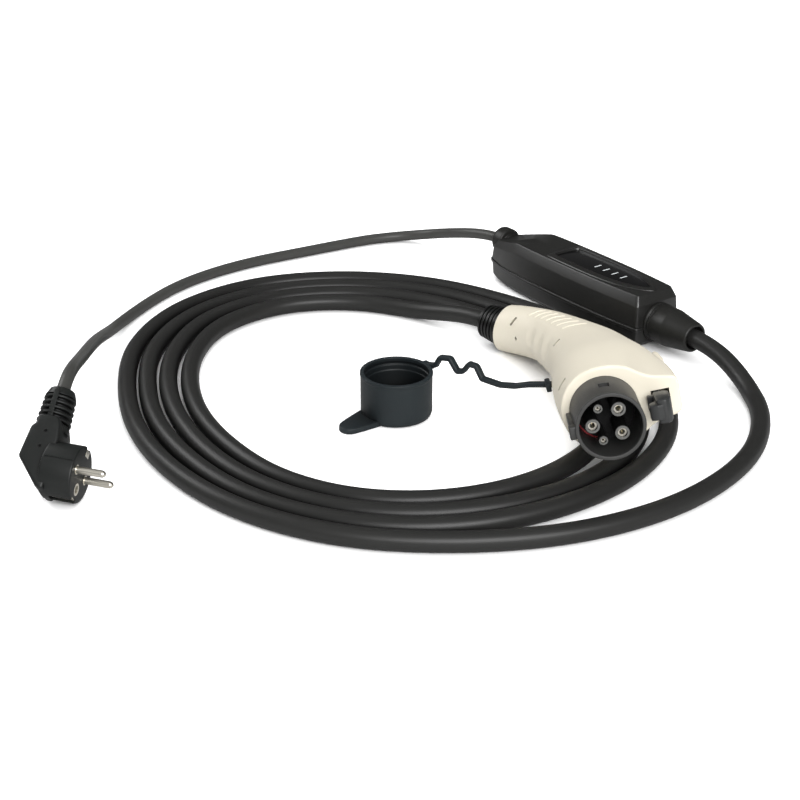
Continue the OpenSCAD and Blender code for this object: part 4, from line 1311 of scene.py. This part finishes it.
@dataclass
class MainsPlug:
    """The angled mains plug: round drum, keeled back and ribbed bend relief in one moulding.

    A well is a radius, a depth and its place (y, z) on the face, and the clip is the x of its inner end, its
    half width and its height.
    """

    face_r: float = 18.5
    drum: float = 21.5
    half_depth: float = 13
    back: Outline = ((-17, -17), (-21.6, -17), (-39.2, 2), (-37.1, 23), (-34.6, 25.5), (-34.3, 32), (-21, 32),
                     (-18.5, 26), (-17, 17))
    slope: Outline = ((-45, 8.3), (-16.1, -22.9), (-45, -40))
    wells: tuple[tuple[float, float, float, float], ...] = (
        (3.2, 20, -9.5, 0), (3.2, 20, 9.5, 0), (4, 15, 0, -10))
    dots: Outline = ((-26.2, 20.7), (-27, 10.1))
    clip: Triple = (-15, 3, 16.6)

    def build(self) -> list[bpy.types.Object]:
        """Builds moulding and earth springs; pins and earth socket are the frame's own.

        Returns:
            Everything that hangs on the mains cable.
        """
        length, half, high = self.clip
        springs = Piece("earth_springs", PLUG, Finish.NICKEL, ("plug_earth_clips",))
        blade = brick((length, -half, high - 0.8), (-0.4, half, high))
        for side in (0, 180):
            springs.add(blade.turned(Axis.X, side), bevel=0.3)
        springs.add(brick((-0.7, -half, high - 4.6), (0.15, half, high)), bevel=0.2)
        names = ("plug_body", "plug_pins", "plug_earth_socket", "plug_earth_clips")
        return [self.moulding(), springs.build()] + [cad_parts[name] for name in names]

    def moulding(self) -> bpy.types.Object:
        """Drum with notches and wells, sloped back with two dots, and relief with a web down its sides.

        Returns:
            The moulding's object.
        """
        r, d = self.face_r, self.half_depth
        profile = rounded([(0, 0), (r, 0), (r, self.drum), (0, self.drum)], 1.2)
        drum = revolved(profile, 128).turned(Axis.Y, -90)
        cuts = [brick((-15.5, -3.4, -r - 2), (1, 3.4, 2.8 - r)), brick((-20, -r - 1, 2), (-0.6, 0.6 - r, 3)),
                prism(self.slope, -30, 30).turned(Axis.X, 90)]
        for radius, depth, y, z in self.wells:
            well = revolved([(0, -depth), (radius, -depth), (radius, 1), (0, 1)], 40)
            cuts.append(well.turned(Axis.Y, 90).shifted(0, y, z))
        notches = brick((-15.5, -3.4, r - 2.8), (1, 3.4, r + 2)).joined(*cuts)
        back = prism(self.back, -d, d).turned(Axis.X, 90)
        dot = revolved([(0, -2), (1, -2), (1, 1.2), (0, 1.2)], 24).turned(Axis.X, -90)
        first, *others = [dot.shifted(x, -d, z) for x, z in self.dots]
        rings = ribbed(11.2, 0.2, 1.2, 3.9, (0.08, 0.2, 0.56, 0.7))
        end = RELIEF_LENGTH
        relief = [(4.4, -4), (11, -4), (11, 0)] + rings + [(10.2, 20), (8.2, 25), (7.4, end), (4.4, end),
                                                           (4.4, -4)]
        web = brick((-1.8, -10.6, 0), (1.8, 10.6, 22.5))
        x, z = RELIEF_FOOT
        return Piece("plug_moulding", PLUG, Finish.PLUG, ("plug_body",)).add(drum, cutter=notches).add(
            back, bevel=1.8, cutter=first.joined(*others)).add(
            revolved(rounded(relief, 0.4), 64).turned(Axis.Y, -RELIEF_LEAN).shifted(x, 0, z)).add(
            web.turned(Axis.Y, -RELIEF_LEAN).shifted(x, 0, z), bevel=0.6).build()


@dataclass(frozen=True)
class Lamp:
    """A rectangular softbox: its place and size in metres, its watts, and whether gloss mirrors it."""

    name: str
    place: Triple
    size: Pair
    power: float
    mirrored: bool = True

    def build(self, target: Triple) -> None:
        """Hangs the softbox so that it faces a point.

        Args:
            target: The point, in metres.
        """
        data = bpy.data.lights.new(self.name, "AREA")
        data.shape, data.energy = "RECTANGLE", self.power
        data.size, data.size_y = self.size
        obj = placed(self.name, data)
        obj.location = self.place
        direction = Vector(target) - obj.location
        obj.rotation_euler = direction.to_track_quat("-Z", "Y").to_euler()
        obj.visible_glossy = self.mirrored


@dataclass
class Stage:
    """White floor and world, soft studio lamps, and the camera at the photograph's angle.

    Ranges on the floor are the share of open sky at which its painted shadow round the pieces is full and at
    which it is gone, and the distance in metres over which the floor turns fully white.
    """

    target: Triple = (-0.0965, -0.0515, 0.0)
    distance: float = 1.095
    elevation: float = 26
    lens: float = 67.95
    sensor: float = 36
    view_end: float = 50
    lamps: tuple[Lamp, ...] = (
        Lamp("front_softbox", (0.3, -1.65, 1.05), (1.4, 0.8), 41),
        Lamp("back_softbox", (0.1, 0.9, 1.2), (1.3, 0.35), 9, mirrored=False),
        Lamp("left_softbox", (-1.15, 0.55, 0.85), (0.9, 0.5), 7))
    sun_power: float = 0.3
    sun_spread: float = 70
    sun_tilt: Pair = (12, -14)
    floor_half: float = 6
    paper: str = "#fbfbfb"
    mirrored_paper: str = "#b4b4b4"
    floor_lift: float = 0.6
    painted_shadow_mm: float = 30
    painted_shadow_range: Pair = (0.2, 0.75)
    white_range: Pair = (0.7, 1.6)
    ambient: float = 0.3
    mirrored: float = 0.08

    def build(self) -> None:
        """Builds camera, floor, world and lamps."""
        self.camera()
        self.floor()
        self.world()
        for lamp in self.lamps:
            lamp.build(self.target)
        self.sun()

    def camera(self) -> None:
        """Places the camera behind the target at its elevation and distance."""
        data = bpy.data.cameras.new("camera")
        data.lens, data.sensor_width, data.clip_end = self.lens, self.sensor, self.view_end
        obj = placed("camera", data)
        e = math.radians(self.elevation)
        x, y, z = self.target
        obj.location = (x, y - self.distance * math.cos(e), z + self.distance * math.sin(e))
        obj.rotation_euler = (math.pi / 2 - e, 0, 0)
        bpy.context.scene.camera = obj

    def sun(self) -> None:
        """A wide sun overhead, a little tilted, that evens out the lamps."""
        data = bpy.data.lights.new("overhead", "SUN")
        data.energy, data.angle = self.sun_power, math.radians(self.sun_spread)
        about_x, about_y = self.sun_tilt
        placed("overhead", data).rotation_euler = (math.radians(about_x), math.radians(about_y), 0)

    def seen(self, tree: bpy.types.NodeTree) -> bpy.types.NodeSocket:
        """Tells where a ray comes from the camera or through a see-through surface.

        Args:
            tree: Node tree of the floor or the world.
        Returns:
            One there, and nought elsewhere.
        """
        path = add(tree, "ShaderNodeLightPath").outputs
        return add(tree, "ShaderNodeMath", {0: path["Is Camera Ray"], 1: path["Is Transmission Ray"]},
                   operation="MAXIMUM").outputs[0]

    def floor(self) -> None:
        """A wide white floor that keeps the shadow.

        Where it is seen, emission lifts it to white, less so close to the pieces, which paints a soft shadow
        there, and fully far away. In reflections it is greyer.
        """
        # Matt paper: even white, with the lamps' soft shadow and a painted one near the pieces, and no
        # highlight.
        material = blank_material("white_paper")
        tree = material.node_tree
        # Open sky round each point thins the emission near the pieces: a painted shadow.
        open_sky = add(tree, "ShaderNodeAmbientOcclusion", {"Distance": self.painted_shadow_mm * MM},
                       samples=AO_SAMPLES)
        shut, clear = self.painted_shadow_range
        open_share = add(tree, "ShaderNodeMapRange", {
            "Value": open_sky.outputs["AO"], "From Min": shut, "From Max": clear})
        place = add(tree, "ShaderNodeTexCoord").outputs["Object"]
        away = add(tree, "ShaderNodeVectorMath", {0: place}, operation="LENGTH")
        near, far = self.white_range
        level = add(tree, "ShaderNodeMapRange", {
            "Value": away.outputs["Value"], "From Min": near, "From Max": far, "To Min": self.floor_lift,
            "To Max": 1.0})
        lift = self.seen(tree)
        for share in (level, open_share):
            lift = add(tree, "ShaderNodeMath", {0: lift, 1: share.outputs["Result"]},
                       operation="MULTIPLY").outputs[0]
        mirrored = add(tree, "ShaderNodeLightPath").outputs["Is Glossy Ray"]
        paper = add(tree, "ShaderNodeMix", {
            "Factor": mirrored, MIX_A: linear(self.paper), MIX_B: linear(self.mirrored_paper)},
            data_type="RGBA")
        matt = add(tree, "ShaderNodeBsdfDiffuse", {"Color": paper.outputs[MIX_RESULT]})
        glow = add(tree, "ShaderNodeEmission", {"Strength": lift})
        both = add(tree, "ShaderNodeAddShader", {0: matt.outputs[0], 1: glow.outputs[0]})
        add(tree, "ShaderNodeOutputMaterial", {"Surface": both.outputs[0]})
        h = self.floor_half
        mesh = bpy.data.meshes.new("floor")
        mesh.from_pydata([(-h, -h, 0), (h, -h, 0), (h, h, 0), (-h, h, 0)], [], [(0, 1, 2, 3)])
        mesh.materials.append(material)
        placed("floor", mesh)

    def world(self) -> None:
        """A white world: plain white where it is seen, soft where it lights, and dim in reflections."""
        world = bpy.data.worlds.new("studio")
        bpy.context.scene.world = world
        world.use_nodes = True
        tree = world.node_tree
        tree.nodes.clear()
        mirrored = add(tree, "ShaderNodeLightPath").outputs["Is Glossy Ray"]
        unseen = add(tree, "ShaderNodeMapRange", {
            "Value": mirrored, "To Min": self.ambient, "To Max": self.mirrored})
        level = add(tree, "ShaderNodeMapRange", {
            "Value": self.seen(tree), "To Min": unseen.outputs["Result"], "To Max": 1.0})
        white = add(tree, "ShaderNodeBackground", {
            "Color": linear("#ffffff"), "Strength": level.outputs["Result"]})
        add(tree, "ShaderNodeOutputWorld", {"Surface": white.outputs[0]})


def main() -> None:
    """Builds the stage, then the plug with the cables, and then the other sub-assemblies."""
    logging.basicConfig(level=logging.INFO, format="%(message)s")
    bpy.context.scene.view_settings.view_transform = "Standard"
    Stage().build()
    dress_frame()
    Cables().build(MainsPlug().build())
    ControlBox().build()
    Handle().build()
    Socket().build()
    Cap().build()


if __name__ == "__main__":
    main()
